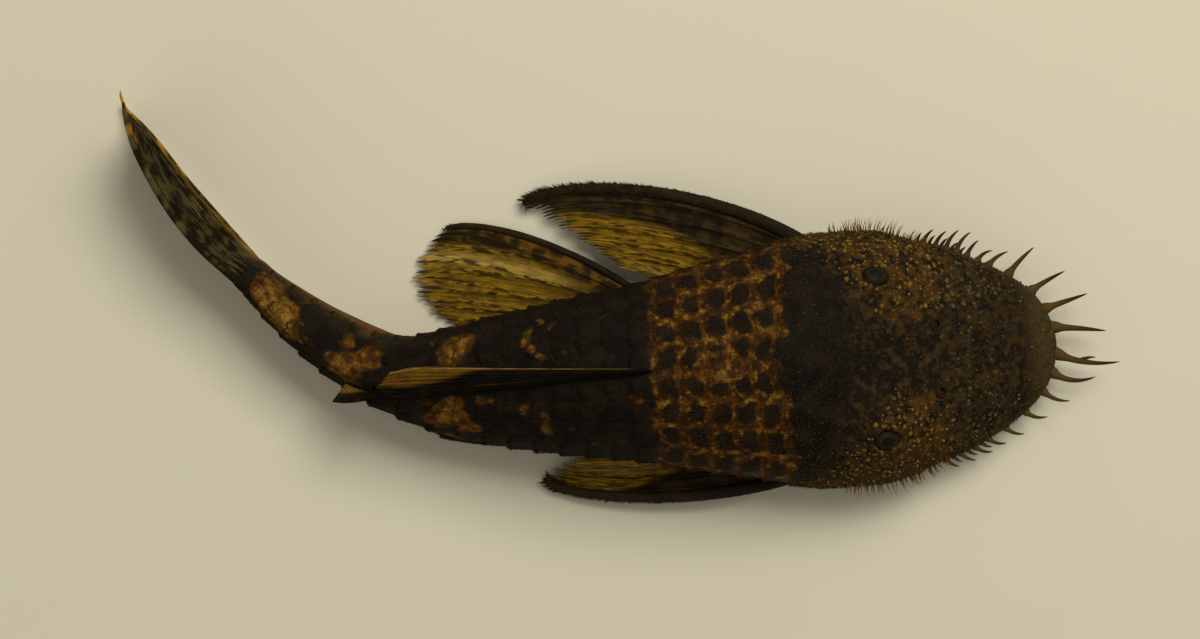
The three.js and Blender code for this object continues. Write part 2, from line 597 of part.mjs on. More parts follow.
// The dorsal fin, folded down: a long low stack of rays that widens towards their tips.
// It lies straight back from its seat, so it doesn't follow the bend of the tail.
function dorsalFinGeometry() {
  const { from, to, attached, width, height, folds } = DORSAL_FIN;
  const seat = besideMidline(from, 0, 0, 0);
  const heading = turnAt(from) + DORSAL_FIN.aside * DEG;
  const shares = Array.from({ length: folds * 2 + 1 }, (_, i) => i / (folds * 2));
  const ringAt = (t) => {
    const away = (to - from) * t;
    const back = sectionAt("back", Math.min(from + away, attached));
    const free = Math.max(0, from + away - attached);
    const shift = -DORSAL_FIN.lean * (0.18 + t * t);
    const place = (left, z) => vec(
      seat.x - Math.cos(heading) * away + Math.sin(heading) * (left + shift),
      seat.y + Math.sin(heading) * away + Math.cos(heading) * (left + shift),
      z,
    );
    const wide = width * (0.34 + 0.66 * Math.min(1, t * 1.35)) * Math.min(1, 0.3 + (1 - t) * 3.4);
    const tall = height * Math.min(1, 0.42 + t * 1.1) * Math.min(1, 0.35 + (1 - t) * 2.6);
    const top = back + tall - free * DORSAL_FIN.droop;
    const bottom = back - free * DORSAL_FIN.droop - (free > 0 ? DORSAL_FIN.thin : DORSAL_FIN.sunk);
    const ridges = shares.map((share, j) => {
      const groove = j % 2 ? 0 : DORSAL_FIN.groove;
      return place(wide * (0.5 - share), top - 0.5 * share * t - groove - Math.abs(share - 0.35) * 0.5);
    });
    return [...ridges, place(-wide / 2, bottom), place(wide / 2, bottom)].reverse();
  };
  const rings = Array.from({ length: DORSAL_FIN.steps + 1 }, (_, i) => ringAt(i / DORSAL_FIN.steps));
  return geometryFrom(solidOf(loft(rings)).subtract(grownTrunk));
}

// The adipose fin: a spine that leans back over the tail, with a web behind it.
function adiposeFinGeometry() {
  const rows = [0, 0.35, 0.7, 1];
  const columns = [0, 0.12, 0.45, 0.75, 1];
  const middle = (a, b) => {
    const at = mix(ADIPOSE_FIN.from, ADIPOSE_FIN.to, b) + ADIPOSE_FIN.sweep * a * (1 - b);
    const tall = ADIPOSE_FIN.rise * a * (1 - b) - 0.8 * (1 - a);
    return besideMidline(at, 0, sectionAt("back", at) + tall);
  };
  const half = (j, a) => (j === 1 ? mix(0.6, 0.3, a) : mix(0.34, 0.25, a));
  return geometryFrom(solidOf(sheet(rows, columns, middle, half)).subtract(grownTrunk));
}

// The anal fin, folded back under the tail on its few rays.
function analFinGeometry() {
  const rows = [0, 0.14, 0.32, 0.5, 0.68, 0.84, 1];
  const columns = [0, 0.2, 0.4, 0.6, 0.8, 1];
  const middle = (a, b) => {
    const at = mix(ANAL_FIN.from, ANAL_FIN.to, a);
    const rootDepth = 0.5 - ANAL_FIN.depth * 1.15 * Math.min(1, a * 1.6);
    const depth = b * ANAL_FIN.depth * Math.min(1, 0.5 + a) * (a > 0.9 ? 0.7 : 1);
    return besideMidline(at, 0, sectionAt("belly", Math.min(at, 68)) + rootDepth * 0.4 - depth + 0.25);
  };
  const half = (j, a) => (j % 2 ? ANAL_FIN.half * 0.62 : ANAL_FIN.half) * mix(1, 0.6, a);
  return geometryFrom(solidOf(sheet(rows, columns, middle, half)).subtract(grownTrunk));
}

const finish = (colour, roughness) =>
  new THREE.MeshStandardMaterial({ color: colour, roughness, metalness: 0 });
const SKIN = finish(0x2a1d10, 0.62);
const SNOUT_SKIN = finish(0x332813, 0.55);
const FIN = finish(0x6b5216, 0.5);
const EYE_DARK = finish(0x10161a, 0.12);
const LIP = finish(0x8a7452, 0.6);

function named(name, geometry, material) {
  geometry.computeBoundingBox();
  const centre = geometry.boundingBox.getCenter(new THREE.Vector3());
  centre.set(Math.round(centre.x), Math.round(centre.y), 0);
  geometry.translate(-centre.x, -centre.y, 0);
  const mesh = new THREE.Mesh(geometry, material);
  mesh.name = name;
  mesh.position.copy(centre);
  return mesh;
}

const head = new THREE.Group();
head.add(
  named("head", headGeometry(), SNOUT_SKIN),
  named("lips", lipsGeometry(), LIP),
  named("eye_left", sphereAt(eyeCentre(1), EYE.radius, 16, 12), EYE_DARK),
  named("eye_right", sphereAt(eyeCentre(-1), EYE.radius, 16, 12), EYE_DARK),
);

const trunk = new THREE.Group();
trunk.add(
  named("torso", trunkLength(NECK + GAP / 2, HIPS - GAP / 2), SKIN),
  named("tail", trunkLength(HIPS + GAP / 2, STALK - GAP / 2), SKIN),
  named("tail_stalk", trunkLength(STALK + GAP / 2, BODY_LENGTH - GAP / 2), SKIN),
);

const fins = new THREE.Group();
Object.entries({ ...PECTORALS, ...PELVICS }).forEach(([name, size]) => {
  fins.add(named(name, pairedFin(size), FIN));
});
fins.add(
  named("dorsal_fin", dorsalFinGeometry(), FIN),
  named("adipose_fin", adiposeFinGeometry(), FIN),
  named("anal_fin", analFinGeometry(), FIN),
  named("tail_fin", tailFinGeometry(), FIN),
);

const pleco = new THREE.Group();
pleco.add(head, trunk, fins);

export default pleco;
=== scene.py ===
"""A bristlenose pleco at life size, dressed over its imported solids.

Measures of the fish are in millimetres and degrees, and what goes to Blender is in metres.
+X runs to the snout, +Y to the fish's left and +Z up, and the floor is z = 0.
"""

import bpy
import numpy as np
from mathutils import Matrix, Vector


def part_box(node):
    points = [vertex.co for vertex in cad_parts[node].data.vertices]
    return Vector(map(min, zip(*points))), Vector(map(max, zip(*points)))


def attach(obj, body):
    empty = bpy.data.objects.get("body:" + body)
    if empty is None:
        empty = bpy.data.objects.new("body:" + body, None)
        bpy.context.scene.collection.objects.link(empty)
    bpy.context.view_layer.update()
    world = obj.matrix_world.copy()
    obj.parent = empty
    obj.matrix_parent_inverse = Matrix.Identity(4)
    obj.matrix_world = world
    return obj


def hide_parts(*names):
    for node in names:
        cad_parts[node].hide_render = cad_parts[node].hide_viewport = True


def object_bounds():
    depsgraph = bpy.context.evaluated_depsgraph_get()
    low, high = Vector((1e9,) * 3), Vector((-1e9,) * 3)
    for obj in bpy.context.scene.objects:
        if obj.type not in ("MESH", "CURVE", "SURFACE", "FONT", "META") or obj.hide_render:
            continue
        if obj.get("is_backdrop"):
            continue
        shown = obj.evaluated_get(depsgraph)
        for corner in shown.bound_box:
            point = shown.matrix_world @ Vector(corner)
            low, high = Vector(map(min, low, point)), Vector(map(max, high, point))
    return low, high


bl_info = {
    "name": "Bristlenose pleco",
    "version": (1, 0, 0),
    "blender": (4, 5, 0),
    "location": "3D View > Sidebar > Pleco",
    "description": "Builds a life-size bristlenose pleco on its packed solids",
    "category": "Add Mesh",
}

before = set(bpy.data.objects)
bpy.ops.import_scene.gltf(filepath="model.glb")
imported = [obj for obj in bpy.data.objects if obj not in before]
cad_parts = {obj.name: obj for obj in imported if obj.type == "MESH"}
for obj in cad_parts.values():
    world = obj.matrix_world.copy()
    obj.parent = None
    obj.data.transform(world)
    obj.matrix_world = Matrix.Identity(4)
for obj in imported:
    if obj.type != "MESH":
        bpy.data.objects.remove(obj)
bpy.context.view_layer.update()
MM = 0.001

# No point of the fish comes nearer the floor than this
FLOOR_GAP = 0.02

# Half the size of a spike's patch on the unwrap
PATCH = 0.0015

# Where the camera hangs, in millimetres ahead of the origin and to its left
CAMERA_OVER = (-11.0, 5.56)

# The midline seen from above, with distances that run back from the tip of the snout
SNOUT = (39.7, 3.2)
BODY_LENGTH = 92.0
FISH_LENGTH = 117.3
BEND = np.array([
    (0, -6), (12, -4.9), (24, -3.9), (52, -3.6), (60, -2.2), (66, 0.5), (71.5, 12), (75.5, 22.5),
    (80, 31), (86, 38.5), (92, 43.5), (98, 47), (104, 53), (110, 59.5), (118, 64),
])
ROLL = np.array([
    (0, 0), (66, 0), (70, 12), (74, 35), (77, 46), (80, 43), (84, 33), (88, 24), (92, 17),
    (98, 19), (108, 10), (118, -5),
])

# The trunk in section: place, half width, heights of back, widest line and belly, and how
# square it is above and below
SECTION = {"at": 0, "half": 1, "back": 2, "widest": 3, "belly": 4, "round": 5, "flat": 6}
STATIONS = np.array([
    (0, 0, 2.9, 2.9, 2.9, 2.0, 2.2),
    (1.3, 4.3, 4.6, 2.9, 1.75, 2.0, 2.4),
    (4.6, 7.55, 6.6, 3.0, 1.4, 2.0, 2.8),
    (8, 9.5, 8.6, 3.1, 1.4, 2.0, 3.0),
    (14.5, 12.2, 11.5, 3.4, 1.5, 2.1, 3.0),
    (20.8, 13.75, 13.7, 3.7, 1.4, 2.15, 3.0),
    (26.6, 14.0, 15.3, 4.0, 1.0, 2.1, 3.0),
    (33.2, 12.6, 16.7, 4.4, 0.1, 2.05, 3.0),
    (39.8, 11.3, 17.6, 4.7, -0.25, 2.0, 3.0),
    (46.4, 9.8, 17.5, 5.0, -0.1, 2.0, 2.9),
    (55.2, 8.4, 15.6, 5.3, 1.1, 2.0, 2.7),
    (64, 6.7, 13.1, 5.5, 1.9, 2.0, 2.4),
    (68.4, 5.7, 12.0, 5.6, 2.0, 2.0, 2.3),
    (73.3, 4.1, 10.6, 5.7, 1.8, 2.1, 2.2),
    (77.5, 2.8, 10.1, 5.8, 1.5, 2.2, 2.2),
    (81.3, 2.2, 9.9, 5.8, 1.4, 2.2, 2.2),
    (86.2, 1.8, 10.0, 5.9, 1.4, 2.2, 2.2),
    (92, 1.35, 10.3, 6.0, 1.4, 2.2, 2.2),
])

# The bony plates, in rows whose edges are degrees round from the back
PLATE_FROM = 28.5
HEAD_RINGS = 136
PLATE_PITCH = 2.75
PLATES = int((BODY_LENGTH - PLATE_FROM) / PLATE_PITCH)
PLATE_LIP = 0.86
PLATE_DROP = 0.93
PLATE_SHARES = (0.0, 0.1, 0.22, 0.34, 0.46, 0.58, 0.69, 0.78, PLATE_LIP, PLATE_DROP)
PLATE_KEEL = {"rise": 0.11, "wide": 0.09}
ROW_EDGES = (0, 16, 31, 49, 73, 98, 121)
ROW_COLUMNS = (11, 11, 12, 16, 16, 14)
PLATE_ROWS = len(ROW_COLUMNS)
ROW_SHIFTS = (0.0, -0.55, -0.1, -0.75, -0.3, -0.6, -0.4)
PLATE_BOW = 0.42
BELLY_COLUMNS = 26

# The bony tongue over the nape, and the skin that runs out over the root of the tail fin
TONGUE = {"at": PLATE_FROM, "rise": 1.7, "wide": 13, "long": 4}
SHEATH = {"long": 4.0, "sunk": 1.22, "scallop": 0.55, "scallops": 14}

# The forms of the head
EYES = ((1, "eye_left"), (-1, "eye_right"))
EYE = {"at": 20.4, "out": 8.2, "sunk": 1.3}
EYE_GLOBE = (1.9, 1.55, 1.65)
SOCKET = {"long": 1.58, "wide": 1.22, "deep": 1.5, "rim": 0.26, "reach": 3, "clear": 1.25}
BROW = {"rise": 0.95, "wide": 2.5}
HOLLOW = {"at": 17.5, "rise": -0.5, "wide": 3.4, "long": 5.5}
CREST = {"at": 27.5, "rise": 0.55, "wide": 2.2, "long": 4.5}
CANTHUS = {"at": 12.5, "rise": 0.3, "wide": 0.8, "long": 4.5}
CHEEK = {"at": 19.5, "rise": 0.35, "wide": 12, "long": 3.6, "round": 74}
MARGIN = {"rise": 0.3, "wide": 13, "round": 78}
NOSTRIL = {"at": 14.2, "out": 3.7, "shift": -0.5, "radius": 0.72, "deep": 0.5, "rim": 0.16}
MOUTH = {"at": 9.2, "half_width": 6.3, "half_length": 5.3, "thick": 1.75, "gap": 0.01}
BARBEL = {"length": 3.0, "radius": 0.46, "bearing": 128, "hook": 32}


def smooth(value, low, high):
    """0 below low and 1 above high, eased between them."""
    t = np.clip((value - low) / (high - low), 0, 1)
    return t * t * (3 - 2 * t)


def hump(distance, wide):
    """1 where the distance is nothing, falling off evenly on both sides."""
    return np.exp(-((distance / wide) ** 2) / 2)


def mix(one, other, share):
    return one + (other - one) * share


def unit(vectors):
    return vectors / np.maximum(np.linalg.norm(vectors, axis=-1, keepdims=True), 1e-12)


def grid(rows, columns):
    return np.meshgrid(rows, columns, indexing="ij")


def turns(count):
    """Angles all the way round, in equal steps."""
    return np.arange(count) / count * 2 * np.pi


def above_floor(points):
    """Lifts the points that lie too low to just over the floor."""
    points[..., 2] = np.maximum(points[..., 2], FLOOR_GAP)
    return points


def curve_through(xs, ys):
    """A smooth curve through given values that never overshoots them."""
    steps = np.diff(xs)
    slopes = np.diff(ys) / steps
    tangents = np.concatenate([slopes[:1], np.zeros(len(xs) - 2), slopes[-1:]])
    before, after = 2 * steps[1:] + steps[:-1], steps[1:] + 2 * steps[:-1]
    same = slopes[:-1] * slopes[1:] > 0
    one, other = np.where(same, slopes[:-1], 1), np.where(same, slopes[1:], 1)
    tangents[1:-1] = np.where(same, (before + after) / (before / one + after / other), 0)

    def read(x):
        held = np.clip(x, xs[0], xs[-1])
        i = np.clip(np.searchsorted(xs, held, side="right") - 1, 0, len(xs) - 2)
        t = (held - xs[i]) / steps[i]
        leave = t * (1 - t) ** 2 * steps[i] * tangents[i]
        arrive = t * t * (t - 1) * steps[i] * tangents[i + 1]
        return mix(ys[i], ys[i + 1], t * t * (3 - 2 * t)) + leave + arrive

    return read


turn_at = curve_through(BEND[:, 0], np.radians(BEND[:, 1]))
roll_at = curve_through(ROLL[:, 0], np.radians(ROLL[:, 1]))
SECTION_CURVES = {
    key: curve_through(np.sqrt(STATIONS[:, 0]), STATIONS[:, column])
    for key, column in SECTION.items()
}


def section_at(key, at):
    return SECTION_CURVES[key](np.sqrt(np.maximum(at, 0)))


def girth_at(at):
    """About the radius of the trunk at a place."""
    return (section_at("half", at) + section_at("back", at) - section_at("widest", at)) / 2


# The midline walked in short steps, as points from the snout to the end of the tail fin
WALK = 0.25
WALKED = np.arange(0, FISH_LENGTH + 2, WALK)
MIDLINE_X = SNOUT[0] - np.append(0, np.cumsum(np.cos(turn_at(WALKED + WALK / 2)))) * WALK
MIDLINE_Y = SNOUT[1] + np.append(0, np.cumsum(np.sin(turn_at(WALKED + WALK / 2)))) * WALK


def beside_midline(at, left, height, about=None):
    """A point left of the midline and above the floor, with the roll of the tail added."""
    about = section_at("widest", at) if about is None else about
    place = np.clip(at, 0, FISH_LENGTH + 1) / WALK
    steps = np.arange(len(MIDLINE_X))
    turn, roll = turn_at(at), roll_at(at)
    rise = height - about
    across = left * np.cos(roll) - rise * np.sin(roll)
    up = about + rise * np.cos(roll) + left * np.sin(roll)
    x = np.interp(place, steps, MIDLINE_X) + np.sin(turn) * across
    y = np.interp(place, steps, MIDLINE_Y) + np.cos(turn) * across
    return np.stack(np.broadcast_arrays(x, y, up), axis=-1)


def trunk_point(at, angle, extra=0.0):
    """A point on the plain trunk, at an angle round from the back to the left side."""
    side, rise = np.sin(angle), np.cos(angle)
    power = np.where(rise >= 0, section_at("round", at), section_at("flat", at))
    reach = (np.abs(side) ** power + np.abs(rise) ** power) ** (-1 / power)
    widest = section_at("widest", at)
    tall = np.where(rise >= 0, section_at("back", at) - widest, widest - section_at("belly", at))
    left = (section_at("half", at) + extra) * reach * side
    return beside_midline(at, left, widest + (tall + extra) * reach * rise, widest)


def around(angle):
    """Degrees round from the back, the same on both sides."""
    return np.abs((np.degrees(angle) + 540) % 360 - 180)


def row_at(angle):
    """The row of plates that an angle falls in, with its share of the row's width."""
    return np.interp(around(angle), [*ROW_EDGES, 180], range(PLATE_ROWS + 2))


def place_at(base, angle):
    """Distance from the snout, where the edges of the plates bow back and step in rows."""
    row = row_at(angle)
    bow = PLATE_BOW * (1 - np.abs(2 * (row % 1) - 1) ** 2.2) * (row < PLATE_ROWS)
    shift = np.interp(row, range(len(ROW_SHIFTS)), ROW_SHIFTS) + bow
    tongue = mound(TONGUE, base, around(angle))
    fade = smooth(base, PLATE_FROM - 5, PLATE_FROM + 1) * (1 - smooth(base, BODY_LENGTH - 5, BODY_LENGTH))
    return base + (shift + tongue) * fade


def mound(form, at, off):
    """A rounded form of the head, or a hollow where its rise is below zero."""
    return form["rise"] * hump(off, form["wide"]) * hump(at - form["at"], form["long"])


def head_relief(at, angle):
    """How far the head stands proud of the plain section, or dips below it."""
    left = section_at("half", at) * np.sin(angle)
    beside, down = np.abs(left), around(angle)
    above = BROW["rise"] * hump(np.hypot(at - EYE["at"], beside - EYE["out"]), BROW["wide"])
    above = above + mound(HOLLOW, at, left) + mound(CREST, at, left)
    above = above + mound(CANTHUS, at, beside - mix(3.2, 7.4, smooth(at, 5, 19)))
    margin = MARGIN["rise"] * hump(down - MARGIN["round"], MARGIN["wide"])
    margin = margin * (1 - smooth(at, 9, 14)) * smooth(at, 0.2, 2)
    return above * np.clip(np.cos(angle) * 3, 0, 1) + margin + mound(CHEEK, at, down - CHEEK["round"])


def plate_relief(base, angle):
    """Plates that slope up to a lip at the rear, with a keel, and grooves between the rows."""
    row = row_at(angle)
    u = ((base - PLATE_FROM) / PLATE_PITCH) % 1
    v = row % 1
    drop = np.clip((PLATE_DROP - u) / (PLATE_DROP - PLATE_LIP), 0, 1)
    rise = np.where(u < PLATE_LIP, (u / PLATE_LIP) ** 1.2, drop)
    crown = 1 - np.abs(2 * v - 1) ** 5
    keel = PLATE_KEEL["rise"] * hump(v - 0.5, PLATE_KEEL["wide"]) * (0.35 + 0.65 * rise)
    size = np.minimum(1, 0.35 + section_at("half", base) / 9)
    shown = (base > PLATE_FROM) * (row < PLATE_ROWS) * smooth(BODY_LENGTH - base, 0, 2.5)
    height = bpy.context.scene.pleco_shape.plate_height / MM * (1 - 0.4 * smooth(row, 2.5, 4))
    return (height * rise * crown + keel * crown) * size * shown


def flesh_point(base, angle):
    """A point of the skin, which thins over the root of the tail fin in scallops."""
    at = place_at(base, angle)
    past = base - BODY_LENGTH + SHEATH["scallop"] * np.cos(SHEATH["scallops"] * angle)
    thinned = SHEATH["sunk"] * smooth(past, 0, SHEATH["long"])
    return trunk_point(at, angle, head_relief(at, angle) + plate_relief(base, angle) - thinned)


def surface_frame(base, angle):
    """A point of the skin with its outward normal and its direction back."""
    p = flesh_point(base, angle)
    back = unit(flesh_point(base + 0.2, angle) - p)
    normal = unit(np.cross(flesh_point(base, angle + 0.02) - p, back))
    return p, normal, back


def node_centre(node):
    """The middle of one of the part's solids, in millimetres."""
    low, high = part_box(node)
    return np.array((low + high) / 2) / MM


def head_frame(at, left):
    """Centre, then directions forward, across and out, of a place on the head."""
    p, normal, back = surface_frame(at, np.arcsin(left / section_at("half", at)))
    return p, -back, np.cross(normal, -back), normal


def over_eye(points, side, node):
    """How far points lie from an eye, 1 at the edge of its opening, and over it, and its way out."""
    _, ahead, across, out = head_frame(EYE["at"], side * EYE["out"])
    offset = points - (node_centre(node) + out * EYE["sunk"])
    return np.hypot(offset @ ahead / SOCKET["long"], offset @ across / SOCKET["wide"]), offset @ out, out


def dented(points):
    """The skin with its eye sockets and nostrils pressed in, and kept above the floor."""
    for side, node in EYES:
        spread, height, out = over_eye(points, side, node)
        spread = np.where(np.abs(height) < SOCKET["reach"], spread, 9)
        depth = SOCKET["deep"] * (1 - smooth(spread, 0.72, 1.02))
        depth = depth - SOCKET["rim"] * hump(spread - 1.22, 0.13)
        points = points - out * depth[..., None]
        nose, _, _, up = head_frame(NOSTRIL["at"], side * NOSTRIL["out"] + NOSTRIL["shift"])
        away = np.linalg.norm(points - nose, axis=-1) / NOSTRIL["radius"]
        depth = NOSTRIL["deep"] * hump(away, 0.55) - NOSTRIL["rim"] * hump(away - 1.25, 0.3)
        points = points - up * depth[..., None]
    return above_floor(points)


def linked(name, data):
    """A new object of the scene."""
    piece = bpy.data.objects.new(name, data)
    bpy.context.scene.collection.objects.link(piece)
    return piece


class Shape:
    """Points, faces and what the shader reads from them, gathered for one mesh."""

    def __init__(self):
        self.points, self.faces, self.fields, self.map, self.count = [], [], {}, [], 0

    def add(self, points, faces, unwrap=None, **fields):
        """Adds points in millimetres and the faces between them."""
        points = np.asarray(points, float).reshape(-1, 3)
        for some in faces:
            self.faces.extend((np.asarray(some) + self.count).tolist())
        self.points.append(points)
        for name, values in fields.items():
            values = np.broadcast_to(np.asarray(values, float).reshape(-1), len(points))
            self.fields.setdefault(name, []).append(values)
        if unwrap is not None:
            self.map.append(unwrap)
        self.count += len(points)

    def build(self, name, material, slot, *nodes):
        """Makes the mesh, sets it on the frame's body, and hides the nodes it stands for."""
        mesh = bpy.data.meshes.new(name)
        mesh.from_pydata((np.concatenate(self.points) * MM).tolist(), [], self.faces)
        for key, values in self.fields.items():
            attribute = mesh.attributes.new(key, "FLOAT", "POINT")
            attribute.data.foreach_set("value", np.concatenate(values).astype(np.float32))
        if self.map:
            corners = np.zeros(len(mesh.loops), int)
            mesh.loops.foreach_get("vertex_index", corners)
            unwrap = np.concatenate(self.map)[corners].ravel().astype(np.float32)
            mesh.uv_layers.new(name="OFBake").data.foreach_set("uv", unwrap)
        mesh.shade_smooth()
        mesh.materials.append(material)
        piece = linked(name, mesh)
        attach(piece, "root")
        if nodes:
            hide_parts(*nodes)


def grid_faces(rows, columns, closed=False):
    """The four-sided faces of a grid, joined round its columns where it is closed."""
    i, j = grid(np.arange(rows - 1) * columns, np.arange(columns if closed else columns - 1))
    k = (j + 1) % columns
    return np.stack([i + j, i + k, i + columns + k, i + columns + j], -1).reshape(-1, 4)


def closed_faces(rows, columns, flipped=False):
    """The faces of a closed grid whose ends are drawn to the two points that follow it."""
    j = np.arange(columns)
    k = (j + 1) % columns
    first = np.full_like(j, rows * columns)
    end = (rows - 1) * columns
    ends = [np.stack([first, k, j], -1), np.stack([end + j, end + k, first + 1], -1)]
    faces = [grid_faces(rows, columns, closed=True), *ends]
    return [some[:, ::-1] for some in faces] if flipped else faces


def spikes(roots, aims, bends, lengths, radii, sides=5, joints=2, sunk=0.4, taper=0.7, flare=0.0):
    """Many tapered spikes: points, faces, place along each, its patch of unwrap, and its points."""
    count = len(roots)
    aims = unit(aims)
    ref = np.where(np.abs(aims[:, 2:3]) < 0.85, [[0.0, 0, 1]], [[0.0, 1, 0]])
    lengths, radii = np.broadcast_to(lengths, count), np.broadcast_to(radii, count)
    section = np.stack([np.cos(turns(sides)), np.sin(turns(sides))], -1)
    centre = roots - aims * (sunk * np.minimum(lengths, 1.0))[:, None]
    rings, places, spans = [], [], []
    for step in range(joints):
        t = step / joints
        if step:
            centre = roots if step == 1 else centre
            centre = centre + unit(aims + bends * (t - 0.5 / joints)) * (lengths / joints)[:, None]
        aim = unit(aims + bends * t)
        out = unit(np.cross(ref, aim))
        wide = radii * ((1 - t) ** taper + flare * np.maximum(0, 1 - t * 4) ** 2)
        rings.append(centre[:, None] + wide[:, None, None] * (
            out[:, None] * section[None, :, :1] + np.cross(aim, out)[:, None] * section[None, :, 1:]))
        places.append(np.full((count, sides), t))
        spans.append(np.broadcast_to(section * (1 - t), (count, sides, 2)))
    centre = centre + unit(aims + bends * (1 - 0.5 / joints)) * (lengths / joints)[:, None]
    points = np.concatenate([*rings, centre[:, None]], 1).reshape(-1, 3)
    along = np.concatenate([*places, np.ones((count, 1))], 1).ravel()
    patch = np.concatenate([*spans, np.zeros((count, 1, 2))], 1).reshape(-1, 2) * PATCH
    size = joints * sides + 1
    j = np.arange(sides)
    last = (joints - 1) * sides
    tips = np.stack([last + j, last + (j + 1) % sides, np.full(sides, size - 1)], -1)
    starts = (np.arange(count) * size)[:, None, None]
    faces = [(some + starts).reshape(-1, some.shape[1])
             for some in (grid_faces(joints, sides, closed=True), tips, j[None, ::-1])]
    return points, faces, along, patch, size


def skin_map(base, angle):
    """Where a place on the skin lies on its unwrap, cut along the belly."""
    turned = (np.degrees(angle) + 180) % 360 / 360
    return np.stack([0.02 + 0.96 * base / (BODY_LENGTH + SHEATH["long"]), 0.02 + 0.96 * turned], -1)


class Field:
    """A socket of a material that Python's operators can be used on, each adding a node."""

    def __init__(self, paint, socket):
        self.paint, self.socket = paint, socket

    def combine(self, operation, one, other):
        """Adds a node for an operation on two numbers, or on two vectors or colours."""
        fields = [value for value in (one, other) if isinstance(value, Field)]
        plain = all(field.socket.type == "VALUE" for field in fields)
        plain = plain and not isinstance(one, tuple) and not isinstance(other, tuple)
        kind = "ShaderNodeMath" if plain else "ShaderNodeVectorMath"
        return self.paint.node(kind, {"operation": operation}, {0: one, 1: other})

    def __add__(self, other):
        return self.combine("ADD", self, other)

    def __radd__(self, other):
        return self.combine("ADD", other, self)

    def __sub__(self, other):
        return self.combine("SUBTRACT", self, other)

    def __rsub__(self, other):
        return self.combine("SUBTRACT", other, self)

    def __mul__(self, other):
        return self.combine("MULTIPLY", self, other)

    def __pow__(self, other):
        return self.combine("POWER", self, other)

    def fraction(self):
        return self.paint.node("ShaderNodeMath", {"operation": "FRACT"}, {0: self})


class Paint:
    """A material in the making, whose nodes come from expressions on its fields."""

    def __init__(self, name):
        self.material = bpy.data.materials.new(name)
        self.material.use_nodes = True
        self.tree = self.material.node_tree
        self.tree.nodes.clear()

    def node(self, kind, settings=None, sockets=None, out=0):
        """Adds one node: its settings first, then the values or links of its sockets."""
        node = self.tree.nodes.new(kind)
        for key, value in (settings or {}).items():
            setattr(node, key, value)
        for key, value in (sockets or {}).items():
            socket = node.inputs[key]
            if isinstance(value, Field):
                self.tree.links.new(value.socket, socket)
            elif socket.type == "RGBA":
                socket.default_value = (*value, 1.0)
            elif socket.type == "VECTOR" and not hasattr(value, "__len__"):
                socket.default_value = (value, value, value)
            else:
                socket.default_value = value
        return Field(self, node.outputs[out]) if node.outputs else None

    def read(self, name):
        """What the mesh holds under a name."""
        return self.node("ShaderNodeAttribute", {"attribute_name": name}, out=2)

    def place(self):
        return self.node("ShaderNodeTexCoord", out=3)

    def noise(self, size, detail, vector=None, out=0):
        """Soft noise, 0 to 1, with features about a size in millimetres apart, or its colour."""
        sockets = {"Vector": vector or self.place(), "Scale": 1 / (size * MM), "Detail": detail}
        return self.node("ShaderNodeTexNoise", None, sockets, out)

    def flow(self, detail, x, y):
        """Soft noise over two fields of the mesh."""
        vector = self.node("ShaderNodeCombineXYZ", None, {0: x, 1: y})
        return self.noise(1 / MM, detail, vector)

    def cells(self, size, out=0, vector=None):
        """Distance from the middle of the nearest of many cells, or with out=1 its colour."""
        sockets = {"Vector": vector or self.place(), "Scale": 1 / (size * MM)}
        return self.node("ShaderNodeTexVoronoi", None, sockets, out)

    def ease(self, value, low, high):
        """0 below low and 1 above high, eased between them."""
        sockets = {"Value": value, "From Min": low, "From Max": high}
        return self.node("ShaderNodeMapRange", {"interpolation_type": "SMOOTHSTEP"}, sockets)

    def blend(self, share, one, other):
        """One colour turning into another as the share goes from 0 to 1."""
        return self.node("ShaderNodeMix", {"data_type": "RGBA"}, {0: share, 6: one, 7: other}, 2)

    def bump(self, height, reach):
        """The normal of a surface raised by a height of 0 to 1 times a reach in millimetres."""
        sockets = {"Height": height, "Distance": reach * MM, "Strength": 1.0}
        return self.node("ShaderNodeBump", None, sockets)

    def finish(self, colour, roughness, **sockets):
        """Ends the material in a shader with this colour, roughness and other sockets."""
        named = {key.replace("_", " "): value for key, value in sockets.items()}
        named = {"Base Color": colour, "Roughness": roughness, **named}
        surface = self.node("ShaderNodeBsdfPrincipled", None, named)
        self.node("ShaderNodeOutputMaterial", None, {"Surface": surface})
        return self.material


def tint(red, green, blue):
    """A colour as a screen shows it, 0 to 255, turned into light."""
    shares = [value / 255 for value in (red, green, blue)]
    return tuple(s / 12.92 if s <= 0.04045 else ((s + 0.055) / 1.055) ** 2.4 for s in shares)


def colour(name, note, red, green, blue):
    return bpy.props.FloatVectorProperty(
        name=name, description=note, subtype="COLOR", size=3, min=0, max=1, default=tint(red, green, blue))


def length(name, note, millimetres):
    return bpy.props.FloatProperty(
        name=name, description=note, default=millimetres * MM, min=0, precision=5, unit="LENGTH")


def number(name, note, value, unit="NONE"):
    return bpy.props.FloatProperty(name=name, description=note, default=value, min=0, unit=unit)


class PlecoShape(bpy.types.PropertyGroup):
    plate_height: length("Plate height", "How far the lip of a plate stands up", 0.3)
    plate_spine: length("Plate spine", "Length of the small spines on the plates", 0.34)
    tubercle: length("Tubercle", "Radius of the largest tubercles of the head", 0.2)
    tubercle_gap: length("Tubercle gap", "Distance between the tubercles of the head", 0.68)
    bristle_root: length("Bristle root", "Radius of a bristle where it leaves the snout", 0.36)
    cheek_spine: length("Cheek spine", "Length of the spines behind the cheek", 1.9)
    web: length("Web", "Half the thickness of the skin between two rays", 0.09)
    ray: length("Ray", "Half the thickness of a ray at its root", 0.2)


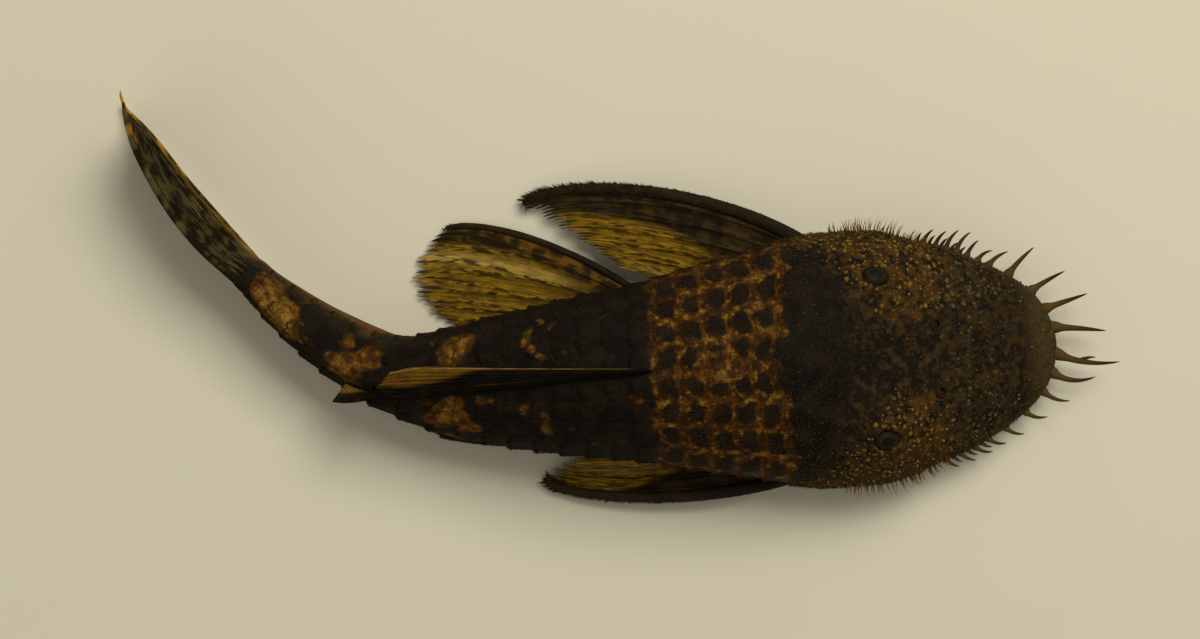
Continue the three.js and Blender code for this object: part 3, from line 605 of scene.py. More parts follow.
class PlecoColours(bpy.types.PropertyGroup):
    black: colour("Black", "The darkest of the body", 15, 11, 7)
    umber: colour("Umber", "Lighter mottles in the black of the body", 29, 23, 13)
    olive: colour("Olive", "The lighter flanks and the hollow side of the tail", 46, 42, 26)
    rust: colour("Rust", "Darker parts of the orange markings", 62, 34, 5)
    amber: colour("Amber", "Lighter parts of the orange markings", 94, 59, 11)
    gold: colour("Gold", "The brightest markings, near the tail fin", 126, 92, 30)
    head: colour("Head", "Ground colour of the head", 19, 15, 9)
    head_light: colour("Head mottle", "Lighter mottles of the head", 52, 38, 18)
    snout: colour("Snout", "The bare margin of the snout", 72, 60, 34)
    dot: colour("Dot", "The yellow dots of the head", 146, 112, 42)
    moss: colour("Moss", "The dull dots of the snout", 92, 84, 46)
    belly: colour("Belly", "The bare skin below", 128, 112, 82)
    belly_dark: colour("Dark belly", "Mottles of the bare skin below", 94, 78, 52)
    web: colour("Web", "The yellow of the fins", 138, 106, 18)
    # The palest fin colour, also painted over the right pectoral's web as painted light shining through it
    web_pale_and_painted_light: colour("Pale web", "The palest bands of the fins", 172, 142, 70)
    web_light: colour("Light brown web", "Light mottles in the brown of the fins", 92, 66, 20)
    web_brown: colour("Brown web", "Brown streaks and bands of the fins", 56, 43, 20)
    web_dark: colour("Dark web", "Rays and dark parts of the fins", 38, 29, 13)
    tail: colour("Tail fin", "Light mottles of the tail fin", 80, 70, 38)
    dorsal: colour("Dorsal fin", "The golden end of the dorsal fin", 112, 76, 14)
    # The orange of the tail fin's end, also painted on the right pectoral's web as a painted glow of light
    fin_tip_and_painted_light: colour("Fin tip", "The orange end of the tail fin", 206, 136, 36)
    bristle: colour("Bristle", "Root of the bristles", 78, 60, 28)
    bristle_tip: colour("Bristle tip", "Tip of the bristles", 44, 32, 16)
    slate: colour("Slate", "The iris of the eye", 33, 33, 17)
    pupil: colour("Pupil", "The pupil of the eye", 19, 20, 12)
    lip: colour("Lip", "The lips", 142, 120, 86)


class PlecoStage(bpy.types.PropertyGroup):
    floor: colour("Floor", "The pale floor", 214, 209, 188)
    floor_worn: colour("Worn floor", "Darker parts of the floor", 168, 160, 134)
    light: colour("Light", "The soft key light", 255, 250, 238)
    key: number("Key light", "Power of the key light", 2.9, "POWER")
    fill: number("Fill light", "Power of the fill light", 0.6, "POWER")
    sky: number("Sky", "Strength of the light from all round", 0.26)
    camera_height: length("Camera height", "Height of the camera over the floor", 312.0)
    lens: number("Lens", "Focal length for a 36 mm frame", 83.45)


def skin_paint(colours):
    """Black plates with a rust-coloured saddle and blotches, and a dotted head."""
    paint = Paint("pleco_skin")
    grain, patchy, ragged = paint.noise(0.35, 3), paint.noise(2.2, 3), paint.noise(0.95, 2)
    rust, body = body_colour(paint, colours, grain, patchy, ragged)
    dots, head = head_colour(paint, colours, grain, patchy, ragged)
    skin = paint.blend(paint.read("head"), body, head)
    snout = paint.ease(grain * 0.6 + ragged * 0.5, 0.45, 0.68)
    snout = paint.blend(snout, colours.snout, colours.head_light)
    snout = paint.blend(dots * 0.5, snout, colours.moss)
    skin = paint.blend(paint.read("bare"), skin, snout)
    below = paint.ease(patchy * 0.7 + ragged * 0.3, 0.42, 0.62)
    below = paint.blend(below, colours.belly, colours.belly_dark)
    skin = paint.blend(paint.read("belly"), skin, below)
    studs = 1 - paint.ease(paint.cells(0.42), 0.1, 0.6)
    plated = 1 - paint.read("bare") * 0.8 - paint.read("belly") * 0.7
    relief = paint.bump(grain * 0.35 + studs * 0.65 * plated, 0.06)
    return paint.finish(skin, 0.67 - rust * 0.06 + grain * 0.14, Normal=relief, Specular_IOR_Level=0.06)


def body_colour(paint, colours, grain, patchy, ragged):
    """How orange the body is, and its black, paler flanks and markings, netted on the saddle."""
    u = (paint.read("plate_along") + (ragged - 0.5) * 0.4).fraction()
    v = (paint.read("plate_row") + (paint.noise(1.3, 1) - 0.5) * 0.36).fraction()
    du, dv = (u - 0.48) * 2.35, (v - 0.5) * 2.2
    from_centre = ((du * du) ** 1.4 + (dv * dv) ** 1.4) ** 0.357
    from_centre = from_centre + (patchy - 0.5) * 0.7 + (grain - 0.5) * 0.25
    centre = 1 - paint.ease(from_centre, 0.66, 1.0)
    orange, netted = paint.read("orange"), paint.read("netted")
    broken = netted * 0.8 + orange * (1 - netted) * 1.8
    marked = orange + ((patchy - 0.5) + (ragged - 0.5) * 0.6) * broken
    hidden = centre * netted * (1 - paint.ease(marked, 1.15, 1.5) * 0.6)
    rust = paint.ease(marked, 0.2, 0.95) * (1 - hidden * 0.97)
    worn = 1 - paint.ease(grain * 0.4 + ragged * 1.2, 0.6, 1.0)
    rust = rust * (1 - worn * (netted * 0.25 + 0.35))
    row = paint.read("plate_row")
    body = paint.blend(paint.ease(patchy + grain * 0.5, 0.62, 0.95), colours.black, colours.umber)
    body = paint.blend(paint.ease(row + patchy * 1.5, 4.6, 6.6) * 0.7, body, colours.olive)
    low = paint.ease(row + patchy * 2.6 + ragged * 1.8, 7.1, 8.6)
    body = paint.blend(low * 0.8, body, colours.amber)
    tone = paint.ease(grain * 0.3 + ragged + (1 - netted) * 0.1, 0.45, 0.9)
    tone = paint.blend(tone, colours.rust, colours.amber)
    bright = paint.ease(marked * (1 - netted), 0.7, 1.8)
    bright = bright + paint.ease(ragged + grain * 0.4, 0.74, 0.9) * (netted * 0.4 + 0.3)
    return rust, paint.blend(rust, body, paint.blend(bright, tone, colours.gold))


def head_colour(paint, colours, grain, patchy, ragged):
    """The head's dots, and its mottled brown with them."""
    dotty, mossy = paint.read("dotty"), paint.read("mossy")
    warm = dotty * (1 - mossy)
    light = ragged * 0.6 + grain * 0.35 + patchy * 0.3 + warm * 0.08 + mossy * 0.06
    head = paint.blend(paint.ease(light, 0.58, 0.8), colours.head, colours.head_light)
    amber = paint.ease(patchy * 0.5 + ragged * 0.9 + warm * 0.3, 0.84, 1.16)
    head = paint.blend(amber * 0.36, head, colours.amber)
    warped = paint.place() + (paint.noise(0.7, 1, out=1) - (0.5, 0.5, 0.5)) * (0.45 * MM)
    chance = paint.node("ShaderNodeSeparateColor", None, {0: paint.cells(0.62, 1, warped)})
    dots = 1 - paint.ease(paint.cells(0.62, 0, warped) + (grain - 0.5) * 0.2, 0.12, 0.55)
    dots = dots * paint.ease(dotty * 0.7 + paint.read("bare") * 0.5 - chance, 0.0, 0.4)
    dot = paint.blend(paint.ease(patchy, 0.45, 0.6), colours.dot, colours.amber)
    return dots, paint.blend(dots * 0.75, head, paint.blend(mossy, dot, colours.moss))


def fin_paint(colours, name, deep, lines=0.9, clear=0.3, plain=None):
    """Yellow skin between dark, dashed rays, with pale bands and a deep part in two colours."""
    paint = Paint(name)
    along, across, ray = paint.read("along"), paint.read("across"), paint.read("ray")
    streaks = paint.flow(3, along * 9, across * 46)
    dashes = paint.flow(2, along * 15, across * 22)
    clouds = paint.noise(1.6, 3)
    web = paint.blend(paint.ease(streaks, 0.4, 0.68), plain or colours.web, colours.web_light)
    web = paint.blend(paint.ease(clouds, 0.5, 0.7) * 0.5, web, colours.web_brown)
    # The pale bands and orange ends are the fins' own colours, but on the right pectoral they are painted
    # light, a glow through a web that lies in shade
    web = paint.blend(paint.read("pale"), web, colours.web_pale_and_painted_light)
    dark = (0.35 + paint.ease(ray, 0.1, 0.6) * 0.65) * paint.ease(dashes, 0.44, 0.56) * lines
    web = paint.blend(dark, web, colours.web_dark)
    web = paint.blend(paint.read("tip"), web, colours.fin_tip_and_painted_light)
    shade = paint.ease(paint.read("shade") + (streaks - 0.5) * 0.5 + (clouds - 0.5) * 0.3, 0.25, 0.75)
    mottle = paint.ease(clouds * 0.5 + dashes * 0.25 + streaks * 0.35, 0.5, 0.64)
    mottle = paint.blend(mottle, deep[0], deep[1])
    mottle = paint.blend(paint.ease(ray, 0.25, 0.9) * 0.55, mottle, colours.black)
    relief = paint.bump(paint.flow(2, along * 90, across * 60), 0.04)
    thin = {"Alpha": 1 - (1 - ray) * (1 - shade) * clear} if clear else {}
    return paint.finish(
        paint.blend(shade, web, mottle), 0.75 + streaks * 0.2, Normal=relief, Specular_IOR_Level=0.04,
        **thin)


def tuft_paint(name, root, tip, dull, mottled=0.0):
    """Spines and tubercles that change from root to tip and from one to the next."""
    paint = Paint(name)
    mottles = (paint.noise(0.5, 2) - 0.5) * 0.3
    if mottled:
        mottles = mottles + (paint.noise(1.3, 2) - 0.5) * mottled
    shade = paint.blend(paint.ease(paint.read("along") + mottles, 0.1, 0.9), root, tip)
    shade = paint.blend(1 - paint.read("tone"), shade, dull)
    relief = paint.bump(paint.noise(0.15, 2), 0.04)
    return paint.finish(
        shade, 0.62 + paint.noise(0.4, 2) * 0.15, Normal=relief, Specular_IOR_Level=0.08)


def eye_paint(colours):
    """A slate iris with fine spokes round a dark pupil, under a wet surface."""
    paint = Paint("pleco_eye")
    out = paint.read("from_axis")
    spokes = paint.flow(3, paint.read("turn") * 6, out * 3)
    iris = paint.blend(paint.ease(spokes, 0.35, 0.7), colours.slate, colours.head)
    ring = (1 - paint.ease(out, 0.52, 0.62)) * paint.ease(out, 0.44, 0.5)
    iris = paint.blend(ring * 0.2, iris, colours.snout)
    iris = paint.blend(1 - paint.ease(out, 0.42, 0.5), iris, colours.pupil)
    iris = paint.blend(paint.ease(out, 0.78, 0.98), iris, colours.black)
    return paint.finish(iris, 0.42 + spokes * 0.08, Specular_IOR_Level=0.05)


def lip_paint(colours):
    """Pale, pimpled lips."""
    paint = Paint("pleco_lip")
    mottles = paint.ease(paint.noise(1.4, 3), 0.4, 0.7)
    pimples = paint.ease(paint.read("pimple"), 0.1, 0.8)
    shade = paint.blend(mottles * 0.5 + 0.2 - pimples * 0.2, colours.lip, colours.belly_dark)
    relief = paint.bump(paint.noise(0.3, 3), 0.06)
    return paint.finish(shade, 0.5 + mottles * 0.1, Normal=relief, Specular_IOR_Level=0.15)


def floor_paint(stage):
    """A pale floor, a little uneven in tone."""
    paint = Paint("stage_floor")
    worn = paint.blend(paint.noise(60, 3) * 0.12, stage.floor, stage.floor_worn)
    return paint.finish(worn, 0.55 + paint.noise(25, 3) * 0.1, Specular_IOR_Level=0.2)


# Markings: place back, degrees round to the left, reach along and round in millimetres,
# and strength, where over one is orange all through
SADDLE = {"from": 30.4, "to": 45.4, "down": 92, "edge": 1.5, "fade": 14}
BLOTCHES = (
    (37.6, 1, 3.6, 1.8, 1.9),
    # A broken arc and a spot behind the saddle, and fainter ones round them
    (57.5, 50, 0.45, 0.7, 0.8), (58.4, 40, 0.5, 0.8, 0.95), (58.7, 32, 0.5, 0.7, 1.0),
    (58.0, 25, 0.5, 0.6, 0.95), (57.3, 18, 0.6, 0.5, 0.9), (56.0, 44, 0.6, 0.65, 0.9),
    (54.6, 19, 0.4, 0.5, 0.45), (50.0, 44, 0.7, 0.5, 0.5), (59.1, -23, 0.5, 0.9, 0.7),
    (56.9, -29, 0.5, 0.8, 0.95), (56.9, -41, 0.55, 0.9, 0.9), (54.2, -38, 0.5, 0.5, 0.45),
    (52.1, -52, 0.8, 0.6, 0.5), (49.6, -49, 0.6, 0.8, 0.5), (47.4, -15, 0.8, 0.7, 0.7),
    # Across the back over the end of the dorsal fin
    (65.9, 38, 1.2, 1.6, 1.2), (67.0, 28, 1.5, 1.2, 1.0), (67.4, 44, 1.6, 1.2, 0.9),
    (69.7, 62, 0.7, 0.8, 0.5), (63.7, -16, 1.2, 0.5, 0.8), (67.1, -23, 1.5, 1.0, 1.2),
    (68.0, -40, 1.6, 1.4, 1.3), (65.6, -48, 1.3, 1.2, 1.1), (66.6, -35, 1.4, 1.2, 1.3),
    (69.8, -16, 0.7, 0.6, 0.7), (66.5, 84, 1.5, 1.3, 0.7), (66.8, -82, 1.5, 1.5, 0.8),
    (57.5, -84, 1.0, 1.4, 0.7), (57.0, 86, 0.9, 1.2, 0.6),
    # Two clouds on the stalk of the tail, on both sides
    (79.4, 32, 1.3, 1.2, 1.2), (77.7, 30, 1.3, 1.2, 1.0), (76.8, 62, 1.3, 1.4, 1.2),
    (79.7, 76, 0.9, 0.9, 0.9), (78.2, 50, 1.7, 0.9, 0.7), (83.0, 31, 1.5, 0.5, 0.4),
    (78.3, -62, 1.9, 1.7, 1.1), (76.8, -96, 1.2, 1.2, 0.8), (89.3, 38, 2.0, 1.8, 1.9),
    (87.0, 22, 1.9, 1.6, 1.9), (85.4, 12, 1.4, 1.1, 1.1), (90.4, 72, 1.8, 1.3, 1.1),
    (87.0, 54, 1.2, 1.0, 1.1), (88.4, -58, 2.0, 1.6, 1.2), (86.4, -96, 1.4, 1.2, 0.8),
)


def markings(at, angle):
    """How orange the skin is, where 0.5 is the edge of a marking."""
    edge, fade = SADDLE["edge"], SADDLE["fade"]
    orange = smooth(at, SADDLE["from"] - edge, SADDLE["from"] + edge)
    orange = orange * (1 - smooth(at, SADDLE["to"] - edge, SADDLE["to"] + edge))
    orange = orange * (1 - smooth(around(angle), SADDLE["down"] - fade, SADDLE["down"] + fade))
    girth = girth_at(at)
    for place, turn, long, wide, strength in BLOTCHES:
        away = (np.degrees(angle) - turn + 540) % 360 - 180
        reach = np.hypot((at - place) / long, np.radians(away) * girth / wide)
        beside = 0.3 * orange * strength * hump(reach, 0.7)
        orange = np.maximum(orange, strength * (1 - smooth(reach, 0.4, 1.6))) + beside
    return orange


def head_dots(at, angle):
    """How thickly the head is dotted, and how dull the dots are towards the snout."""
    left, down = np.abs(section_at("half", at) * np.sin(angle)), around(angle)
    mossy = 1 - smooth(at + left * 0.25, 12, 17)
    dotty = mix(0.25 + 0.2 * mossy, 1, smooth(left, 2.4, 6.0)) * smooth(at, 3.6, 7.5)
    behind = at - 4.5 * smooth(left, 5, 11) - 5 * smooth(down, 50, 72)
    return dotty * (1 - smooth(behind, 18, 24)) * (1 - smooth(down, 92, 108)), mossy


def skin_bases():
    """Places of the skin's rings, on the edges of every plate."""
    head = PLATE_FROM * (np.arange(1, HEAD_RINGS) / HEAD_RINGS) ** 1.35
    starts = PLATE_FROM + PLATE_PITCH * np.arange(PLATES)
    plates = starts[:, None] + PLATE_PITCH * np.array(PLATE_SHARES)
    sheath = BODY_LENGTH + np.linspace(-0.15, SHEATH["long"], 12)
    return np.concatenate([head, plates.ravel(), sheath])


def skin_angles():
    """Angles of the skin's columns, on the edges of every row of plates."""
    edges, counts = [*ROW_EDGES, 180], [*ROW_COLUMNS, BELLY_COLUMNS]
    side = np.concatenate([np.linspace(*span, endpoint=False) for span in zip(edges, edges[1:], counts)])
    return np.radians(np.concatenate([side, [180], 360 - side[:0:-1]]))


def make_skin(colours):
    """One skin from the snout to the root of the tail fin."""
    bases, angles = skin_bases(), skin_angles()
    base, angle = grid(bases, angles)
    base = np.append(base, [0.0, BODY_LENGTH + SHEATH["long"]])
    angle = np.append(angle, [0.0, 0.0])
    points = dented(flesh_point(base, angle))
    points[-1] = points[-2 - len(angles):-2].mean(0)
    at, down = place_at(base, angle), around(angle)
    bare = 0.8 * (1 - smooth(at, 1.4, 5.0)) + 0.8 * smooth(down, 62, 82) * (1 - smooth(at, 6, 12))
    dotty, mossy = head_dots(at, angle)
    shape = Shape()
    shape.add(
        points, closed_faces(len(bases), len(angles)), skin_map(base, angle),
        plate_along=(base - PLATE_FROM) / PLATE_PITCH + 20,
        plate_row=row_at(angle),
        orange=markings(base, angle),
        netted=0.25 + 0.75 * smooth(base, 27, 30) * (1 - smooth(base, 45, 48)),
        head=1 - smooth(at - 2.5 * smooth(down, 30, 60) - 2.5 * smooth(down, 55, 75), 22.5, 27.5),
        bare=np.clip(bare, 0, 1),
        belly=smooth(down, 112, 130) * (1 - 0.85 * smooth(base, 52, 66)),
        dotty=dotty,
        mossy=mossy,
    )
    shape.build("skin", skin_paint(colours), "skin", "head", "torso", "tail", "tail_stalk")


# The small spikes of the head: how far back and round they reach, and their sizes
TUBERCLES = {"from": 1.6, "to": 31.0, "round": 96}
PRICKLES = {"gap": 0.52, "from": 5.5, "to": 31.0, "round": 98, "lengths": (0.16, 0.3)}
CHEEK_SPINES = {"count": 110, "from": 13.6, "to": 24.6, "round": (66, 96), "radii": (0.045, 0.075)}
PRICKLE_RADII = (0.035, 0.06)


def scattered(draw, gap, area):
    """Places on the skin about a gap apart, in staggered rows over an area."""
    bases, angles = [], []
    limit = np.radians(area["round"])
    for count, base in enumerate(np.arange(area["from"], area["to"], gap * 0.87)):
        step = gap / girth_at(base)
        row = np.arange(-limit, limit, step) + step / 2 * (count % 2)
        angles.append(row + draw.uniform(-0.45, 0.45, len(row)) * step)
        bases.append(base + draw.uniform(-0.5, 0.5, len(row)) * gap)
    return np.concatenate(bases), np.concatenate(angles)


def clear_of_eyes(points):
    """Which points lie outside the openings of both eyes."""
    return np.all([over_eye(points, *eye)[0] > SOCKET["clear"] for eye in EYES], axis=0)


def add_tufts(shape, base, angle, aims, bends, lengths, radii, tone, **build):
    """Adds spikes that grow from places on the skin."""
    roots = dented(flesh_point(base, angle))
    points, faces, along, patch, size = spikes(roots, aims, bends, lengths, radii, **build)
    home = np.repeat(skin_map(base, angle), size, axis=0)
    shape.add(above_floor(points), faces, home + patch, along=along, tone=np.repeat(tone, size))


def make_tubercles(colours, sizes):
    """Low tubercles over the head, bright beside the eyes and dull on the snout."""
    draw = np.random.default_rng(11)
    base, angle = scattered(draw, sizes.tubercle_gap / MM, TUBERCLES)
    dotty, mossy = head_dots(place_at(base, angle), angle)
    p, normal, back = surface_frame(base, angle)
    x, y = p[:, 0], p[:, 1]
    clumps = 0.5 + 0.5 * np.sin(x * 1.9 + 2 * np.sin(y * 1.3)) * np.sin(y * 2.3 + np.sin(x))
    kept = (draw.random(len(base)) < 0.2 + dotty * 0.4 + clumps * 0.4) & clear_of_eyes(p)
    base, angle, normal, back = base[kept], angle[kept], normal[kept], back[kept]
    dotty, mossy = dotty[kept], mossy[kept]
    shown = np.maximum(dotty, 0.9 * mossy)
    glow = np.clip(shown * draw.uniform(-0.1, 1.3, len(base)), 0.05, 1)
    radii = 0.4 + 0.75 * draw.random(len(base)) ** 2.2
    radii = sizes.tubercle / MM * radii * (0.7 + 0.3 * shown)
    for name, tip in (("head_tubercles", colours.dot), ("snout_tubercles", colours.moss)):
        dull = mossy > draw.random(len(base))
        some = dull if name == "snout_tubercles" else ~dull
        shape = Shape()
        add_tufts(
            shape, base[some], angle[some], normal[some] + back[some] * 0.25, back[some] * 0.8,
            radii[some], radii[some], glow[some], sides=7, joints=3, sunk=0.5, taper=0.45)
        shape.build(name, tuft_paint(name, colours.head_light, tip, colours.web_brown), "head_skin")


def make_prickles(colours):
    """Short fine spines that roughen the head and the cheeks."""
    draw = np.random.default_rng(12)
    base, angle = scattered(draw, PRICKLES["gap"], PRICKLES)
    p, normal, back = surface_frame(base, angle)
    kept = clear_of_eyes(p)
    base, angle, normal, back = base[kept], angle[kept], normal[kept], back[kept]
    count = len(base)
    lean = draw.normal(0, 0.25, (count, 3))
    longer = smooth(around(angle), 55, 85) * smooth(base, 9, 15)
    lengths = draw.uniform(*PRICKLES["lengths"], count) * (1 + longer * 0.9)
    radii = draw.uniform(*PRICKLE_RADII, count)
    shape = Shape()
    add_tufts(
        shape, base, angle, normal * 0.55 + back * 0.8 + lean, back * 0.4, lengths, radii,
        draw.random(count), sides=4)
    paint = tuft_paint("head_prickles", colours.head_light, colours.web_light, colours.head_light)
    shape.build("head_prickles", paint, "head_skin")


def make_plate_spines(colours, sizes):
    """A comb of small spines along the lip of every plate, and more over its back."""
    draw = np.random.default_rng(13)
    combs = [(PLATE_LIP - 0.02, v, 1.0) for v in np.linspace(0.07, 0.93, 11)]
    combs += [(share, v, 0.6) for share in (0.3, 0.5, 0.68) for v in np.linspace(0.12, 0.88, 7)]
    spines = [
        (plate, row, side, *comb)
        for plate in range(PLATES) for row in range(PLATE_ROWS) for side in (1, -1) for comb in combs]
    plate, row, side, share, v, big = np.array(spines).T
    count = len(spines)
    share = share + draw.uniform(-0.03, 0.03, count) * np.where(big < 1, 2, 1)
    v = v + draw.uniform(-0.03, 0.03, count)
    base = PLATE_FROM + PLATE_PITCH * (plate + share)
    angle = np.radians(side * np.interp(row + v, range(len(ROW_EDGES)), ROW_EDGES))
    _, normal, back = surface_frame(base, angle)
    keel = 1 + 0.6 * hump(v - 0.5, 0.1) * (big == 1)
    fade = 1 - 0.35 * smooth(base, 60, 90)
    lengths = sizes.plate_spine / MM * big * keel * draw.uniform(0.75, 1.15, count) * fade
    tone = draw.uniform(0.0, 0.4, count) + 0.8 * smooth(markings(base, angle), 0.2, 0.7)
    shape = Shape()
    add_tufts(
        shape, base, angle, back + normal * 0.3, -normal * 0.1, lengths, 0.055 * (0.6 + 0.4 * big),
        np.clip(tone, 0, 1), sides=4)
    paint = tuft_paint("plate_spines", colours.rust, colours.amber, colours.black)
    shape.build("plate_spines", paint, "skin")


# Bristles: place back from the tip, length, the way each points, how far it hooks and how
# steeply it rises, in degrees from straight ahead round to the left
BRISTLES = {
    1: (
        (0.16, 5.9, -1, -6, 6), (0.9, 5.0, 20, 0, 10), (2.3, 4.4, 36, -10, 14),
        (4.7, 4.3, 56, -16, 18), (6.8, 2.8, 56, -40, 22), (8.0, 2.2, 66, -60, 26),
        (9.2, 2.4, 76, -40, 28), (10.4, 3.0, 78, -44, 22), (11.5, 2.9, 84, -48, 30),
        (12.7, 2.5, 84, -50, 36), (14.0, 2.2, 84, -52, 30), (11.0, 1.6, 80, -50, 48),
        (12.1, 1.8, 88, -54, 46), (13.4, 1.7, 90, -50, 48), (10.0, 1.3, 76, -44, 50),
        (14.7, 1.4, 90, -40, 40),
    ),
    -1: (
        (0.14, 7.2, -24, 34, 8), (0.8, 5.0, -34, 58, 8), (2.0, 3.2, -44, 50, 10),
        (4.2, 2.6, -42, 60, 12), (6.6, 2.3, -46, 56, 14), (8.6, 2.2, -44, 60, 20),
        (10.2, 2.3, -44, 56, 24), (11.8, 2.1, -50, 50, 26), (13.4, 1.8, -54, 46, 28),
        (9.4, 1.5, -50, 50, 42), (11.0, 1.5, -54, 50, 44), (12.6, 1.4, -60, 44, 46),
    ),
}
BRISTLES_ROUND = 84
FORK = {"along": 0.36, "length": 2.0, "bearing": 30, "hook": -36, "rise": 10, "share": 0.62}


def pointing(bearing, rise):
    """A direction, in degrees round from straight ahead to the left and up."""
    b, r = np.broadcast_arrays(np.radians(bearing), np.radians(rise))
    return np.stack([np.cos(b) * np.cos(r), np.sin(b) * np.cos(r), np.sin(r)], -1)


def make_bristles(colours, sizes):
    """Fleshy bristles along the margin of the snout, one of them forked."""
    rows = np.array([(side, *row) for side, some in BRISTLES.items() for row in some])
    side, base, long, bearing, hook, rise = rows.T
    angle = np.radians(BRISTLES_ROUND) * side
    aims = pointing(bearing, rise)
    bends = pointing(bearing + hook, rise * 0.6) - aims
    radii = sizes.bristle_root / MM * np.minimum(1.2, 0.5 + long / 8)
    shape = Shape()
    add_tufts(
        shape, base, angle, aims, bends, long, radii, 0.7 + 0.3 * np.sin(base * 9), sides=12,
        joints=14, sunk=1.1, taper=0.62, flare=1.0)
    stem = slice(len(BRISTLES[1]), len(BRISTLES[1]) + 1)
    middle = unit(aims[stem] + bends[stem] * FORK["along"] / 2) * long[stem] * FORK["along"]
    middle = flesh_point(base[stem], angle[stem]) + middle
    aims = pointing([FORK["bearing"]], FORK["rise"])
    bends = pointing([FORK["bearing"] + FORK["hook"]], FORK["rise"]) - aims
    points, faces, along, patch, size = spikes(
        middle, aims, bends, FORK["length"], radii[stem] * FORK["share"], sides=10, joints=8, sunk=0.12)
    home = np.repeat(skin_map(base[stem], angle[stem]), size, axis=0)
    shape.add(points, faces, home + patch, along=0.35 + 0.65 * along, tone=0.8)
    paint = tuft_paint("snout_bristles", colours.bristle, colours.bristle_tip, colours.snout)
    shape.build("snout_bristles", paint, "head_skin")


def make_cheek_spines(colours, sizes):
    """Brushes of thin hooked spines behind the cheeks."""
    draw = np.random.default_rng(14)
    count = CHEEK_SPINES["count"]
    shape = Shape()
    for side in (1, -1):
        t = np.sort(draw.random(count))
        base = mix(CHEEK_SPINES["from"], CHEEK_SPINES["to"], t)
        angle = np.radians(side * draw.uniform(*CHEEK_SPINES["round"], count))
        _, normal, _ = surface_frame(base, angle)
        bearing = side * (mix(70, 122, t) + draw.normal(0, 10, count))
        aims = pointing(bearing, draw.uniform(4, 42, count))
        lengths = sizes.cheek_spine / MM * draw.uniform(0.45, 1.15, count) * (0.6 + 0.4 * np.sin(t * 3.14))
        radii = draw.uniform(*CHEEK_SPINES["radii"], count)
        add_tufts(
            shape, base, angle, aims + normal * 0.2, pointing(bearing - side * 40, 0) - aims, lengths,
            radii, draw.uniform(0.4, 1, count), joints=5, sunk=0.8)
    paint = tuft_paint("cheek_spines", colours.head_light, colours.dot, colours.bristle)
    shape.build("cheek_spines", paint, "head_skin")


def make_eyes(colours):
    """Two low domes with a slate iris, each as deep in the head as its solid."""
    material = eye_paint(colours)
    rings, columns = 28, 48
    tilt, turn = grid(np.linspace(0, np.pi, rings + 2)[1:-1], turns(columns))
    tilt, turn = np.append(tilt, [0.0, np.pi]), np.append(turn, [0.0, 0.0])
    globe = np.stack([np.sin(tilt) * np.cos(turn), np.sin(tilt) * np.sin(turn), np.cos(tilt)], -1)
    for side, node in EYES:
        _, *directions = head_frame(EYE["at"], side * EYE["out"])
        shape = Shape()
        shape.add(
            node_centre(node) + globe * EYE_GLOBE @ directions,
            closed_faces(rings, columns, flipped=True),
            from_axis=np.where(tilt < np.pi / 2, np.minimum(np.sin(tilt) * 1.1, 1), 1),
            turn=np.abs(np.sin(turn * 1.5)))
        shape.build("globe_" + node[4:], material, "eye", node)


def make_nostrils(colours):
    """A raised rim round each nostril, with a flap of skin across it."""
    columns, sides = 28, 8
    a, c = grid(turns(columns), turns(sides))
    flap = hump(np.angle(np.exp(1j * (a - np.pi))), 0.8)
    radius = NOSTRIL["radius"] * 0.84 + 0.14 * np.cos(c) - 0.3 * flap * np.maximum(np.sin(c), 0)
    rim = np.stack([radius * np.cos(a), radius * np.sin(a), 0.2 * np.sin(c) * (1 + 1.6 * flap) - 0.02], -1)
    i, j = grid(np.arange(columns), np.arange(sides))
    after, beside = (i + 1) % columns * sides, (j + 1) % sides
    faces = np.stack([i * sides + j, after + j, after + beside, i * sides + beside], -1).reshape(-1, 4)
    shape = Shape()
    for side in (1, -1):
        nose, *directions = head_frame(NOSTRIL["at"], side * NOSTRIL["out"] + NOSTRIL["shift"])
        shape.add(nose + rim @ directions, [faces], along=0.3, tone=0.6)
    paint = tuft_paint("nostril_rims", colours.head_light, colours.head, colours.head)
    shape.build("nostril_rims", paint, "head_skin")


# The lips in section: share of the way out from the slit of the mouth, and height
LIP_SECTION = np.array([
    (0.9, 1.75), (0.98, 1.3), (1.0, 0.8), (0.985, 0.35), (0.95, 0.1), (0.88, 0.05), (0.78, 0.14),
    (0.68, 0.22), (0.58, 0.28), (0.48, 0.34), (0.38, 0.38), (0.28, 0.36), (0.18, 0.28), (0.1, 0.2),
    (0.03, 0.28), (0.0, 0.55), (-0.03, 0.9),
])


